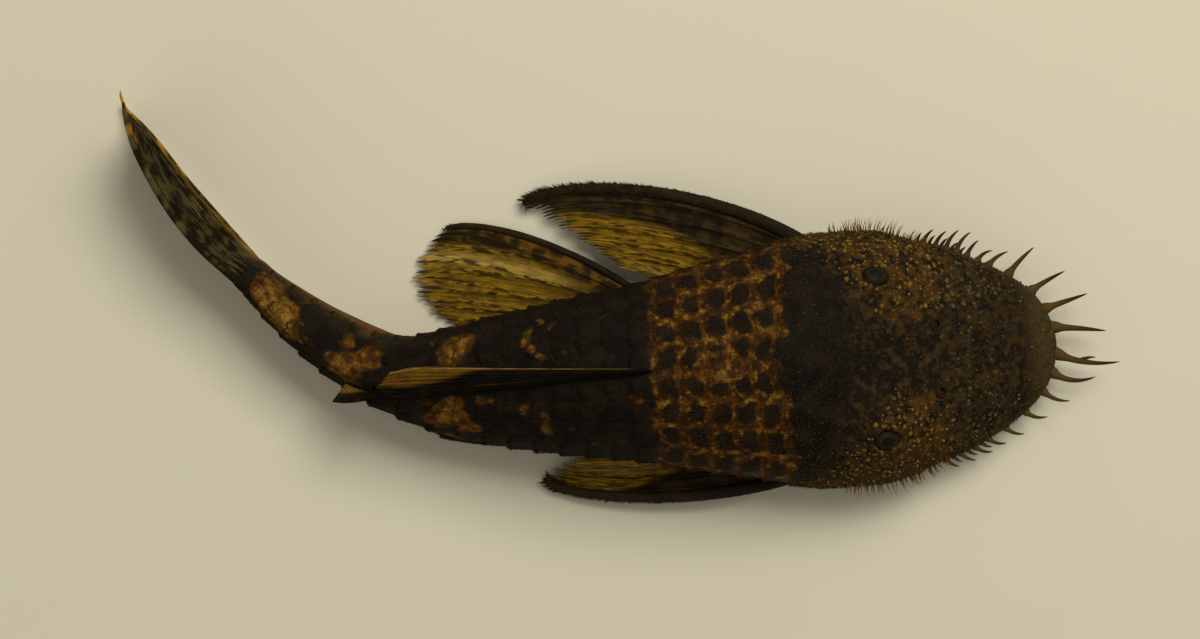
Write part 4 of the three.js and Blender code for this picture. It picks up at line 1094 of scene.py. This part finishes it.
def make_lips(colours):
    """An oval sucker of two pimpled lips round the line of the mouth, with two barbels."""
    columns, rows = 160, 4 * len(LIP_SECTION)
    finer = np.linspace(0, len(LIP_SECTION) - 1, rows)
    share, height = [np.interp(finer, range(len(LIP_SECTION)), column) for column in LIP_SECTION.T]
    share, turn = grid(share, turns(columns))
    height = np.repeat(height, columns).reshape(rows, columns)
    left = np.sin(turn) * mix(3.2, MOUTH["half_width"], share)
    back = -np.cos(turn) * mix(0.45, MOUTH["half_length"], share)
    back = back - 0.5 * (left / 3.2) ** 2 * (1 - np.clip(share, 0, 1))
    pimples = np.cos(left * 6.4 + 0.9 * np.sin(back * 2.1)) * np.cos(back * 6.4 + 0.9 * np.sin(left * 1.7))
    pimples = np.maximum(0, pimples) * (share > 0.12) * (share < 0.97) * (height < 0.6)
    height = np.maximum(height - 0.16 * pimples, MOUTH["gap"])
    points = beside_midline(MOUTH["at"] + back, left, height).reshape(-1, 3)
    ends = beside_midline(MOUTH["at"] - np.array([0, 0.3]), np.zeros(2), np.array([MOUTH["thick"], 1.0]))
    shape = Shape()
    shape.add(
        np.concatenate([points, ends]), closed_faces(rows, columns), pimple=np.append(pimples, [0, 0]))
    sides = np.array([1.0, -1.0])
    corners = sides * (MOUTH["half_width"] - 0.5)
    roots = beside_midline(np.full(2, MOUTH["at"] + 0.6), corners, np.full(2, 0.75))
    aims = pointing(sides * BARBEL["bearing"], 0)
    bends = pointing(sides * (BARBEL["bearing"] + BARBEL["hook"]), 0) - aims
    points, faces, *_ = spikes(
        roots, aims, bends, BARBEL["length"], BARBEL["radius"], sides=12, joints=12, sunk=1.0)
    shape.add(above_floor(points), faces, pimple=0.7)
    shape.build("lip_disc", lip_paint(colours), "lip", "lips")


# Fins: corners of the root and of the end, how the end bulges and the front bows
# The last number of each pectoral is painted light: how much its web is painted paler, yellower and more
# orange, a painted glow through the right fin, which lies in the body's shade
PECTORALS = {
    "pectoral_fin_left": {
        "root": (13.4, 12.6, 4.4), "root_end": (10.5, 6.6, 4.3), "tip": (-19.9, 18.6, 1.0),
        "tip_end": (-8.6, 11.2, 3.1), "bulge": (-0.6, 0.6, 0), "bow": (0, 4.2, 0.4),
        "rays": 6, "side": 1, "painted_light": 0.0,
    },
    "pectoral_fin_right": {
        "root": (13.4, -10.4, 4.2), "root_end": (10.5, -5.4, 4.0), "tip": (-17.4, -12.4, 1.0),
        "tip_end": (-9.6, -8.6, 1.5), "bulge": (-1.2, 0.2, 0), "bow": (0, -3.0, 0.2),
        "rays": 6, "side": -1, "painted_light": 0.5,
    },
}
PECTORAL_SPINE = {"wide": 0.8, "tall": 0.66, "tip": 0.6, "prickles": 1700, "prickle": 0.8, "outward": 0.75}
PELVICS = {
    "pelvic_fin_left": {
        "root": (-4.6, 6.6, 1.9), "root_end": (-9.6, 3.9, 1.7), "tip": (-28.0, 16.0, 0.6),
        "tip_end": (-26.4, 4.4, 0.8), "bulge": (-4.6, -0.4, 0), "bow": (0, 3.0, -0.2),
        "rays": 5, "side": 1,
    },
    "pelvic_fin_right": {
        "root": (-5.6, -6.8, 1.9), "root_end": (-9.6, -4.4, 1.6), "tip": (-29.0, -7.3, 0.6),
        "tip_end": (-27.2, -3.4, 0.7), "bulge": (-2.0, 0, 0), "bow": (0, -1.5, -0.3),
        "rays": 5, "side": -1,
    },
}
PELVIC_SPINE = {"wide": 0.44, "tall": 0.4, "tip": 0.6, "prickles": 700, "prickle": 0.3, "outward": 0.95}

# The share of a paired fin's root that its stout spine takes up
WEB_FROM = 0.07


def ray_ridge(a, b, rays, start):
    """How near a place is to a ray, 0 to 1, where each ray parts in two and then in four."""
    pitch = (1 - start) / rays
    offset = (((b - start) / pitch) % 1 - 0.5) * pitch
    part = pitch * 0.25 * smooth(a, 0.3, 0.95)
    again = pitch * 0.12 * smooth(a, 0.6, 1.0)
    return hump(np.abs(np.abs(offset) - part) - again, pitch * 0.045) * (b > start)


def blade(size):
    """The middle surface of a paired fin, from its root, 0, to its end, 1, and front to back."""
    corner = {key: np.array(value, float) for key, value in size.items() if isinstance(value, tuple)}

    def middle(a, b):
        a, b = a[..., None], b[..., None]
        root = mix(corner["root"], corner["root_end"], b)
        tip = mix(corner["tip"], corner["tip_end"], b) + corner["bulge"] * 4 * b * (1 - b)
        bowed = np.maximum(4 * a * (1 - a), 0) ** 0.7 * (1 - b) ** 1.5
        return mix(root, tip, a) + corner["bow"] * bowed

    return middle


def facing(middle, a, b):
    """The direction square to a fin's middle surface."""
    step = 1e-3
    a, b = np.clip(a, step, 1 - step), np.clip(b, step, 1 - step)
    along = middle(a + step, b) - middle(a - step, b)
    return unit(np.cross(along, middle(a, b + step) - middle(a, b - step)))


def add_sheet(shape, middle, half, rows, columns, **fields):
    """Adds a thin sheet with two faces and a rim, as thick as half says on each side."""
    a, b = grid(rows, columns)
    p, reach = middle(a, b), facing(middle, a, b) * half(a, b)[..., None]
    points = np.concatenate([(p + reach).reshape(-1, 3), (p - reach).reshape(-1, 3)])
    count, wide = a.size, len(columns)
    quads = grid_faces(len(rows), wide)
    i, j = np.arange(len(rows)) * wide, np.arange(wide)
    loop = np.concatenate([j[:-1], i[:-1] + wide - 1, (i[-1] + j)[:0:-1], i[:0:-1]])
    following = np.roll(loop, -1)
    rim = np.stack([loop, following, following + count, loop + count], -1)
    fields = {key: value(a, b) if callable(value) else value for key, value in fields.items()}
    fields = {"along": a, "across": b, "tip": 0.0, **fields}
    both = {key: np.tile(np.broadcast_to(value, a.shape).ravel(), 2) for key, value in fields.items()}
    shape.add(above_floor(points), [quads[:, ::-1], quads + count, rim], **both)


def add_tube(shape, path, across, normal, wide, tall, sides=14, **fields):
    """Adds a tapering tube along a path, oval in section."""
    turn = turns(sides)
    ring = across[:, None] * (np.cos(turn) * wide[:, None])[..., None]
    ring = ring + normal[:, None] * (np.sin(turn) * tall[:, None])[..., None]
    points = np.concatenate([(path[:, None] + ring).reshape(-1, 3), path[:1], path[-1:]])
    held = {}
    for key, value in fields.items():
        value = np.broadcast_to(value, len(path))
        held[key] = np.concatenate([np.repeat(value, sides), value[:1], value[-1:]])
    flipped = np.dot(np.cross(across[0], normal[0]), path[1] - path[0]) > 0
    shape.add(above_floor(points), closed_faces(len(path), sides, flipped), **held)


def make_paired_web(node, size, sizes, material, shades):
    """The web of a paired fin, pleated on its rays and notched between their ends."""
    middle, rays = blade(size), size["rays"]

    def ridge(a, b):
        return ray_ridge(a, b, rays, WEB_FROM)

    def half(a, b):
        ray = sizes.ray / MM * mix(1, 0.5, a) * ridge(a, b)
        return (sizes.web / MM + ray) * mix(1.0, 0.75, a)

    def trimmed(a, b):
        notch = 0.05 * (1 - ridge(np.ones_like(b), b)) + 0.012 * np.sin(b * 37)
        a = a * (1 - notch * smooth(a, 0.5, 1))
        pleat = np.cos((b - WEB_FROM) / (1 - WEB_FROM) * rays * 2 * np.pi)
        pleat = 0.1 * pleat * np.sin(np.minimum(a, 1) * 3.0)
        return middle(a, b) - facing(middle, a, b) * pleat[..., None]

    shape = Shape()
    add_sheet(shape, trimmed, half, np.linspace(0, 1, 84), np.linspace(0.01, 1, 130), ray=ridge, **shades)
    shape.build(node.replace("fin", "web"), material, "fin", node)


def make_paired_spine(node, size, colours, spine):
    """The stout spine along the front of a paired fin, with prickles on its outer sides."""
    middle, joints = blade(size), 60
    a = np.linspace(-0.02, 1.0, joints)
    b = np.full_like(a, WEB_FROM / 2)
    path, normal = middle(a, b), facing(middle, a, b)
    along = unit(np.gradient(path, axis=0))
    across = unit(np.cross(normal, along))
    taper = mix(1, spine["tip"], np.clip(a, 0, 1)) * np.sqrt(np.clip((1.012 - a) * 22, 0, 1))
    shape = Shape()
    add_tube(shape, path, across, normal, spine["wide"] * taper, spine["tall"] * taper, along=a, tone=0.35)

    draw = np.random.default_rng(21)
    count = spine["prickles"]
    t = draw.random(count) ** spine["outward"] * 0.97 + 0.03
    turn = draw.uniform(-0.4, 3.6, count)[:, None]
    place = np.clip(t * (joints - 1), 0, joints - 1.001)
    i, share = place.astype(int), (place % 1)[:, None]
    root, side, up, ahead = [mix(some[i], some[i + 1], share) for some in (path, across, normal, along)]
    outward = np.sin(turn) * up * spine["tall"] - np.cos(turn) * side * size["side"] * spine["wide"]
    root = root + outward * mix(1, spine["tip"], t)[:, None] * 0.9
    aims = unit(outward) * 0.7 + ahead + draw.normal(0, 0.12, (count, 3))
    lengths = spine["prickle"] * draw.uniform(0.5, 1.1, count) * mix(0.28, 1.1, t ** 2)
    radii = draw.uniform(*PRICKLE_RADII, count)
    points, faces, grown, _, each = spikes(
        root, aims, unit(outward) * 0.5, lengths, radii, sides=4, sunk=0.3)
    tone = np.repeat(draw.uniform(0.4, 1, count), each)
    shape.add(above_floor(points), faces, along=0.4 + 0.6 * grown, tone=tone)
    name = node.replace("fin", "spine")
    shape.build(name, tuft_paint(name, colours.umber, colours.web_brown, colours.umber, 2.1), "fin")


def make_pectorals(colours, sizes):
    """The pectoral fins, dark at the front and at the root, and yellow behind, the right one's web
    brightened with painted light.
    """
    material = fin_paint(colours, "pectoral_web", (colours.umber, colours.web_brown), clear=0.2)
    for node, size in PECTORALS.items():
        # Painted light: on the right fin the yellow is widened and a pale band and an orange glow are
        # added, standing in for light shining through a web that lies in shade
        painted_light = size["painted_light"]

        def shade(a, b):
            back = b + a * 0.2 + painted_light * 0.5 * smooth(a, 0.45, 0.8)
            return 1.05 - 1.15 * smooth(a + b * 0.15, 0.3, 0.75) * smooth(back, 0.34, 0.66)

        def pale(a, b):
            return (0.25 + painted_light) * smooth(b, 0.75 - painted_light, 1.0 - painted_light) * smooth(a, 0.45, 0.8)

        def tip(a, b):
            return 0.6 * painted_light * smooth(b, 0.3, 0.6) * smooth(a, 0.45, 0.75)

        make_paired_web(node, size, sizes, material, {"shade": shade, "pale": pale, "tip": tip})
        make_paired_spine(node, size, colours, PECTORAL_SPINE)


def make_pelvics(colours, sizes):
    """The pelvic fins, with a mottled root and front edge and a pale band."""
    material = fin_paint(colours, "pelvic_web", (colours.web_dark, colours.web_light), clear=0.25)

    def shade(a, b):
        return 0.95 * (1 - smooth(b, 0.12, 0.25)) + 0.7 * (1 - smooth(a, 0.2, 0.6))

    def pale(a, b):
        return 0.8 * hump(b - 0.29, 0.035) * smooth(a, 0.15, 0.4) + 0.25 * smooth(a, 0.9, 1.0)

    for node, size in PELVICS.items():
        make_paired_web(node, size, sizes, material, {"shade": shade, "pale": pale})
        make_paired_spine(node, size, colours, PELVIC_SPINE)


# The tail fin: how far back its rays reach, and half its height at the root and at the end
TAIL_FIN = {
    "upper": 117.1, "fork": 114.0, "lower": 117.7, "root_half": 4.2, "tip_half": 6.3, "thick": 1.25,
    "rays": 12,
}


def make_tail_fin(colours, sizes):
    """The tail fin, half closed, on twelve parting rays between two stout ones."""
    fin = TAIL_FIN
    dip = (fin["upper"] + fin["lower"]) / 2 - fin["fork"]

    def edges(b, wide):
        return hump(b - 0.02, wide) + hump(b - 0.98, wide)

    def ridge(a, b):
        inner = smooth(b, 0.03, 0.06) * (1 - smooth(b, 0.94, 0.97))
        return np.clip(ray_ridge(a, b, fin["rays"], 0.03) * inner + edges(b, 0.016), 0, 1)

    def middle(a, b):
        end = mix(fin["upper"], fin["lower"], b) - dip * np.maximum(4 * b * (1 - b), 0) ** 0.8
        end = end - 0.3 * (1 - ridge(np.ones_like(b), b)) * smooth(a, 0.7, 1)
        at = mix(BODY_LENGTH - 0.8, end, a)
        tall = mix(fin["root_half"] - 0.25, fin["tip_half"], a ** 0.75) * (1 - 0.09 * smooth(a, 0.9, 1))
        centre = mix(section_at("widest", BODY_LENGTH), fin["tip_half"] + 0.35, a)
        pleat = 0.12 * np.cos(b * fin["rays"] * 2 * np.pi) * smooth(a, 0.1, 0.5)
        pleat = pleat + 0.5 * (1 - 2 * b) * smooth(a, 0.75, 1)
        return beside_midline(at, pleat, centre + tall * (1 - 2 * b), centre)

    def half(a, b):
        body = fin["thick"] * np.maximum(0, 1 - a * 3.4) ** 1.4
        body = body * np.sqrt(np.maximum(0, 1 - (2 * b - 1) ** 2))
        stout = mix(0.3, 0.14, a) + 0.1 * np.clip(edges(b, 0.03), 0, 1)
        return np.maximum(sizes.web / MM + stout * ridge(a, b), body) * (1 - 0.8 * smooth(a, 0.86, 1))

    def marks(a, b):
        upper, lower = 1 - smooth(b, 0.05, 0.16), smooth(b, 0.84, 0.93)
        ends = smooth(a, 0.93, 0.965) * (0.3 + upper + lower)
        ends = ends + 0.55 * hump(a - 0.83, 0.03) * upper + 0.6 * hump(a - 0.76, 0.022) * lower
        return np.clip(ends, 0, 1)

    def shade(a, b):
        return (1.0 - 0.62 * smooth(b, 0.76, 0.96) * smooth(a, 0.0, 0.15)) * (1 - marks(a, b))

    def pale(a, b):
        return 0.2 * smooth(b, 0.9, 1.0)

    shape = Shape()
    add_sheet(
        shape, middle, half, np.linspace(0, 1, 110), np.linspace(0, 1, 170), ray=ridge, tip=marks,
        shade=shade, pale=pale)
    material = fin_paint(colours, "tail_web", (colours.umber, colours.tail))
    shape.build("tail_web", material, "fin", "tail_fin")


# The folded dorsal fin: where it starts, comes free and ends, and the shape of its stack
DORSAL_FIN = {
    "from": 45.2, "attached": 69.0, "to": 75.2, "width": 3.0, "height": 2.5, "folds": 7,
    "sunk": 0.9, "droop": 0.055, "aside": 0.9, "offset": 0.35, "skew": 2.3, "edge": 0.34,
    "splay": 0.2, "rounded": 0.75,
}


def dorsal_rings(t):
    """Rings of the folded fin: places left and up, across the stack, and how near a ray."""
    fin = DORSAL_FIN
    at = mix(fin["from"], fin["to"], t)
    free = np.maximum(0, at - fin["attached"])
    loose = free / (fin["to"] - fin["attached"])
    firm, seated = 1 - 0.8 * loose, smooth(t, -0.02, 0.06)
    wide = fin["width"] * (0.16 + 0.84 * np.minimum(1, t * 1.2))
    wide = wide * (0.3 + 0.7 * seated) * (1 - 0.2 * smooth(t, 0.9, 1))
    tall = fin["height"] * np.minimum(1, 0.42 + t * 1.1) * (0.25 + 0.75 * seated) * (1 - 0.45 * loose)
    share = np.linspace(0, 1, fin["folds"] * 8 + 1)
    waves = 0.5 * np.sin(t * 7 + share * 5) + 0.2 * np.sin(t * 23)
    ridge = np.abs(np.cos(share * fin["folds"] * np.pi + waves))
    fall = 0.5 * share * t + 0.5 * np.abs(share - 0.35) + fin["rounded"] * np.abs(2 * share - 1) ** 3
    fall = fall * firm + (1 - ridge) * (0.05 + 0.2 * firm * np.minimum(1, t + 0.3))
    back = section_at("back", np.minimum(at, fin["attached"]))
    top = back + tall - free * fin["droop"] - fall
    under = np.min(top, 1, keepdims=True) - mix(1.0, fin["edge"], loose)
    under = mix(back - fin["sunk"], under, smooth(free, 0, 0.5))
    down = np.linspace(0, 1, 7)[1:-1]
    splay = 1 + fin["splay"] * (1 - loose)
    left = [
        0.5 - share + 0 * t, -0.5 * mix(1, splay, down), np.linspace(-0.5, 0.5, 4) * splay,
        0.5 * mix(splay, 1, down)]
    height = [top, mix(top[:, -1:], under, down), np.repeat(under, 4, 1), mix(under, top[:, :1], down)]
    across = np.concatenate([share, 1 + 0.3 * down, [1.3, 1.5, -0.5, -0.3], 0.3 * (down - 1)])
    rays = [ridge, np.full((len(t), 14), 0.6)]
    return wide * np.concatenate(left, 1), np.concatenate(height, 1), across, np.concatenate(rays, 1)


def make_dorsal_fin(colours):
    """The dorsal fin folded back, its rays stacked side by side, free and thin at its end."""
    fin, rings = DORSAL_FIN, 120
    t = np.linspace(0, 1, rings)[:, None]
    left, height, across, rays = dorsal_rings(t)
    away = (fin["to"] - fin["from"]) * t
    away = away - (fin["skew"] * (1 - np.clip(across, 0, 1)) - 0.5 * rays) * smooth(t, 0.8, 1)
    x, y, _ = beside_midline(fin["from"], fin["offset"], 0.0, 0.0)
    heading = turn_at(fin["from"]) + np.radians(fin["aside"])
    x = x - np.cos(heading) * away + np.sin(heading) * left
    y = y + np.sin(heading) * away + np.cos(heading) * left
    points = np.stack([x, y, height], -1)
    ends = [points[0].mean(0), points[-1].mean(0)]
    along = np.append(np.repeat(t, len(across), 1), [0, 1])
    faces = closed_faces(rings, len(across), flipped=True)
    across = np.append(np.tile(across, rings), [0.5, 0.5])
    golden = smooth(along + 0.3 * np.clip(1 - across, 0, 1), 0.78, 1.0)
    golden = golden * (1 - smooth(np.abs(across), 0.5, 0.85)) * (1 - 0.7 * smooth(-across, 0.05, 0.2))
    edge = hump(across - 0.03, 0.022) * smooth(along, 0.02, 0.1)
    line = 0.5 * hump(across - 0.78, 0.03) * smooth(along, 0.3, 0.4) * (1 - smooth(along, 0.6, 0.7))
    shape = Shape()
    shape.add(
        np.concatenate([points.reshape(-1, 3), ends]), faces, along=along, across=across,
        ray=np.append(rays, [0, 0]), shade=np.clip(1.0 - golden * 0.75 - (edge + line) * 0.9, 0, 1),
        pale=(edge + line) * 0.45, tip=0.0)
    material = fin_paint(colours, "dorsal_web", (colours.black, colours.umber), 0.6, 0.0, colours.dorsal)
    shape.build("dorsal_web", material, "fin", "dorsal_fin")


# The two small fins: from where to where they run, and how far they stand out
ADIPOSE_FIN = {"from": 72.6, "to": 77.6, "rise": 3.2, "sweep": 5.2, "spine": 0.1}
ANAL_FIN = {"from": 62.5, "to": 73.5, "depth": 1.5, "belly": 68, "folds": 12.5}


def make_small_fins(colours, sizes):
    """The adipose fin, a spine with a web behind it, and the anal fin, folded back."""
    material = fin_paint(colours, "small_web", (colours.black, colours.web_dark), clear=0.15)
    fin, low, web = ADIPOSE_FIN, ANAL_FIN, sizes.web / MM

    def adipose(a, b):
        at = mix(fin["from"], fin["to"], b) + fin["sweep"] * a * (1 - b)
        tall = fin["rise"] * a * (1 - b) - 0.8 * (1 - a)
        return beside_midline(at, 0.0 * a, section_at("back", at) + tall)

    shape = Shape()
    add_sheet(
        shape, adipose, lambda a, b: web * 1.4 + mix(0.42, 0.12, a) * hump(b - fin["spine"], 0.07),
        np.linspace(0, 1, 30), np.linspace(0, 1, 36), ray=lambda a, b: hump(b - fin["spine"], 0.08),
        shade=lambda a, b: 1 - 0.5 * smooth(b, 0.2, 0.5), pale=lambda a, b: 0.3 * smooth(b, 0.3, 0.6))
    shape.build("adipose_web", material, "fin", "adipose_fin")

    def anal(a, b):
        at = mix(low["from"], low["to"], a)
        root = 0.5 - low["depth"] * 1.15 * np.minimum(1, a * 1.6)
        depth = b * low["depth"] * np.minimum(1, 0.5 + a) * mix(1, 0.7, smooth(a, 0.85, 1))
        belly = section_at("belly", np.minimum(at, low["belly"]))
        return beside_midline(at, 0.12 * np.sin(b * 20), belly + root * 0.4 - depth + 0.25)

    def ridge(a, b):
        return np.abs(np.cos(b * low["folds"]))

    shape = Shape()
    add_sheet(
        shape, anal, lambda a, b: (web + 0.22 * ridge(a, b)) * mix(1.5, 0.8, a), np.linspace(0, 1, 50),
        np.linspace(0, 1, 36), ray=ridge, shade=lambda a, b: 0.7 - 0.5 * a, pale=0.2)
    shape.build("anal_web", material, "fin", "anal_fin")


# The floor's width, and the lights: size of each, and where it hangs, all in metres
FLOOR = {"wide": 2.4, "steps": 24}
LIGHTS = {
    "key": {"size": 0.32, "place": (0.16, 0.3, 0.5)},
    "fill": {"size": 0.6, "place": (-0.4, -0.35, 0.45)},
}


def hung_light(name, stage, size, place):
    """An area light that points at the middle of the fish."""
    light = bpy.data.lights.new("stage_" + name, "AREA")
    light.energy, light.size, light.color = getattr(stage, name), size, stage.light
    lamp = linked(light.name, light)
    low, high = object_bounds()
    lamp.location = place
    lamp.rotation_euler = ((low + high) / 2 - lamp.location).to_track_quat("-Z", "Y").to_euler()


def make_stage(stage):
    """A pale floor, a soft key light from behind the fish's left, a fill and the camera."""
    steps = FLOOR["steps"]
    places = np.linspace(-FLOOR["wide"] / 2, FLOOR["wide"] / 2, steps + 1)
    y, x = grid(places, places)
    points = np.stack([x.ravel(), y.ravel(), np.zeros(x.size)], -1)
    mesh = bpy.data.meshes.new("stage_floor")
    mesh.from_pydata(points.tolist(), [], grid_faces(steps + 1, steps + 1)[:, ::-1].tolist())
    mesh.materials.append(floor_paint(stage))
    floor = linked("stage_floor", mesh)
    floor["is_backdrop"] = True
    for name, light in LIGHTS.items():
        hung_light(name, stage, **light)

    world = bpy.data.worlds.new("stage_sky")
    world.use_nodes = True
    sky = world.node_tree.nodes["Background"].inputs
    sky["Color"].default_value = (*stage.light, 1)
    sky["Strength"].default_value = stage.sky
    scene = bpy.context.scene
    scene.world = world
    scene.view_settings.view_transform = "Standard"

    camera = bpy.data.cameras.new("stage_camera")
    camera.lens, camera.sensor_width = stage.lens, 36.0
    scene.camera = linked(camera.name, camera)
    scene.camera.location = (CAMERA_OVER[0] * MM, CAMERA_OVER[1] * MM, stage.camera_height)


def settings(context):
    """The colours and sizes that a user can change."""
    return context.scene.pleco_colours, context.scene.pleco_shape


class PLECO_OT_skin(bpy.types.Operator):
    """Make the skin with its plates, head and sockets"""

    bl_idname = "pleco.skin"
    bl_label = "Skin"

    def execute(self, context):
        make_skin(context.scene.pleco_colours)
        return {"FINISHED"}


class PLECO_OT_tubercles(bpy.types.Operator):
    """Set tubercles and short prickles on the head"""

    bl_idname = "pleco.tubercles"
    bl_label = "Head tubercles"

    def execute(self, context):
        make_tubercles(*settings(context))
        make_prickles(context.scene.pleco_colours)
        return {"FINISHED"}


class PLECO_OT_plate_spines(bpy.types.Operator):
    """Set combs of small spines on the plates"""

    bl_idname = "pleco.plate_spines"
    bl_label = "Plate spines"

    def execute(self, context):
        make_plate_spines(*settings(context))
        return {"FINISHED"}


class PLECO_OT_bristles(bpy.types.Operator):
    """Grow the bristles of the snout and the brushes of the cheeks"""

    bl_idname = "pleco.bristles"
    bl_label = "Bristles"

    def execute(self, context):
        make_bristles(*settings(context))
        make_cheek_spines(*settings(context))
        return {"FINISHED"}


class PLECO_OT_face(bpy.types.Operator):
    """Make the eyes, the nostrils and the lips"""

    bl_idname = "pleco.face"
    bl_label = "Eyes, nostrils and lips"

    def execute(self, context):
        make_eyes(context.scene.pleco_colours)
        make_nostrils(context.scene.pleco_colours)
        make_lips(context.scene.pleco_colours)
        return {"FINISHED"}


class PLECO_OT_paired_fins(bpy.types.Operator):
    """Make the pectoral and pelvic fins"""

    bl_idname = "pleco.paired_fins"
    bl_label = "Paired fins"

    def execute(self, context):
        make_pectorals(*settings(context))
        make_pelvics(*settings(context))
        return {"FINISHED"}


class PLECO_OT_middle_fins(bpy.types.Operator):
    """Make the tail, dorsal, adipose and anal fins"""

    bl_idname = "pleco.middle_fins"
    bl_label = "Middle fins"

    def execute(self, context):
        make_tail_fin(*settings(context))
        make_dorsal_fin(context.scene.pleco_colours)
        make_small_fins(*settings(context))
        return {"FINISHED"}


class PLECO_OT_stage(bpy.types.Operator):
    """Lay the floor, hang the lights and set the camera over the fish"""

    bl_idname = "pleco.stage"
    bl_label = "Stage"

    def execute(self, context):
        make_stage(context.scene.pleco_stage)
        return {"FINISHED"}


OPERATORS = (
    PLECO_OT_skin, PLECO_OT_tubercles, PLECO_OT_plate_spines, PLECO_OT_bristles, PLECO_OT_face,
    PLECO_OT_paired_fins, PLECO_OT_middle_fins, PLECO_OT_stage,
)


class PLECO_PT_panel(bpy.types.Panel):
    """Lists the pieces of the fish and its stage"""

    bl_idname = "PLECO_PT_panel"
    bl_label = "Bristlenose pleco"
    bl_space_type = "VIEW_3D"
    bl_region_type = "UI"
    bl_category = "Pleco"

    def draw(self, context):
        for operator in OPERATORS:
            self.layout.operator(operator.bl_idname)
        for group in (context.scene.pleco_shape, context.scene.pleco_colours, context.scene.pleco_stage):
            box = self.layout.box()
            for key in group.__annotations__:
                box.prop(group, key)


GROUPS = {"pleco_shape": PlecoShape, "pleco_colours": PlecoColours, "pleco_stage": PlecoStage}


def register():
    """Adds the sizes, colours, operators and panel."""
    for group in (*GROUPS.values(), *OPERATORS, PLECO_PT_panel):
        bpy.utils.register_class(group)
    for name, group in GROUPS.items():
        setattr(bpy.types.Scene, name, bpy.props.PointerProperty(type=group))


def unregister():
    """Takes away what register added."""
    for name in GROUPS:
        delattr(bpy.types.Scene, name)
    for group in (PLECO_PT_panel, *OPERATORS, *GROUPS.values()):
        bpy.utils.unregister_class(group)


def main():
    """Makes every piece in order."""
    register()
    for operator in OPERATORS:
        family, name = operator.bl_idname.split(".")
        getattr(getattr(bpy.ops, family), name)()


if __name__ == "__main__":
    main()
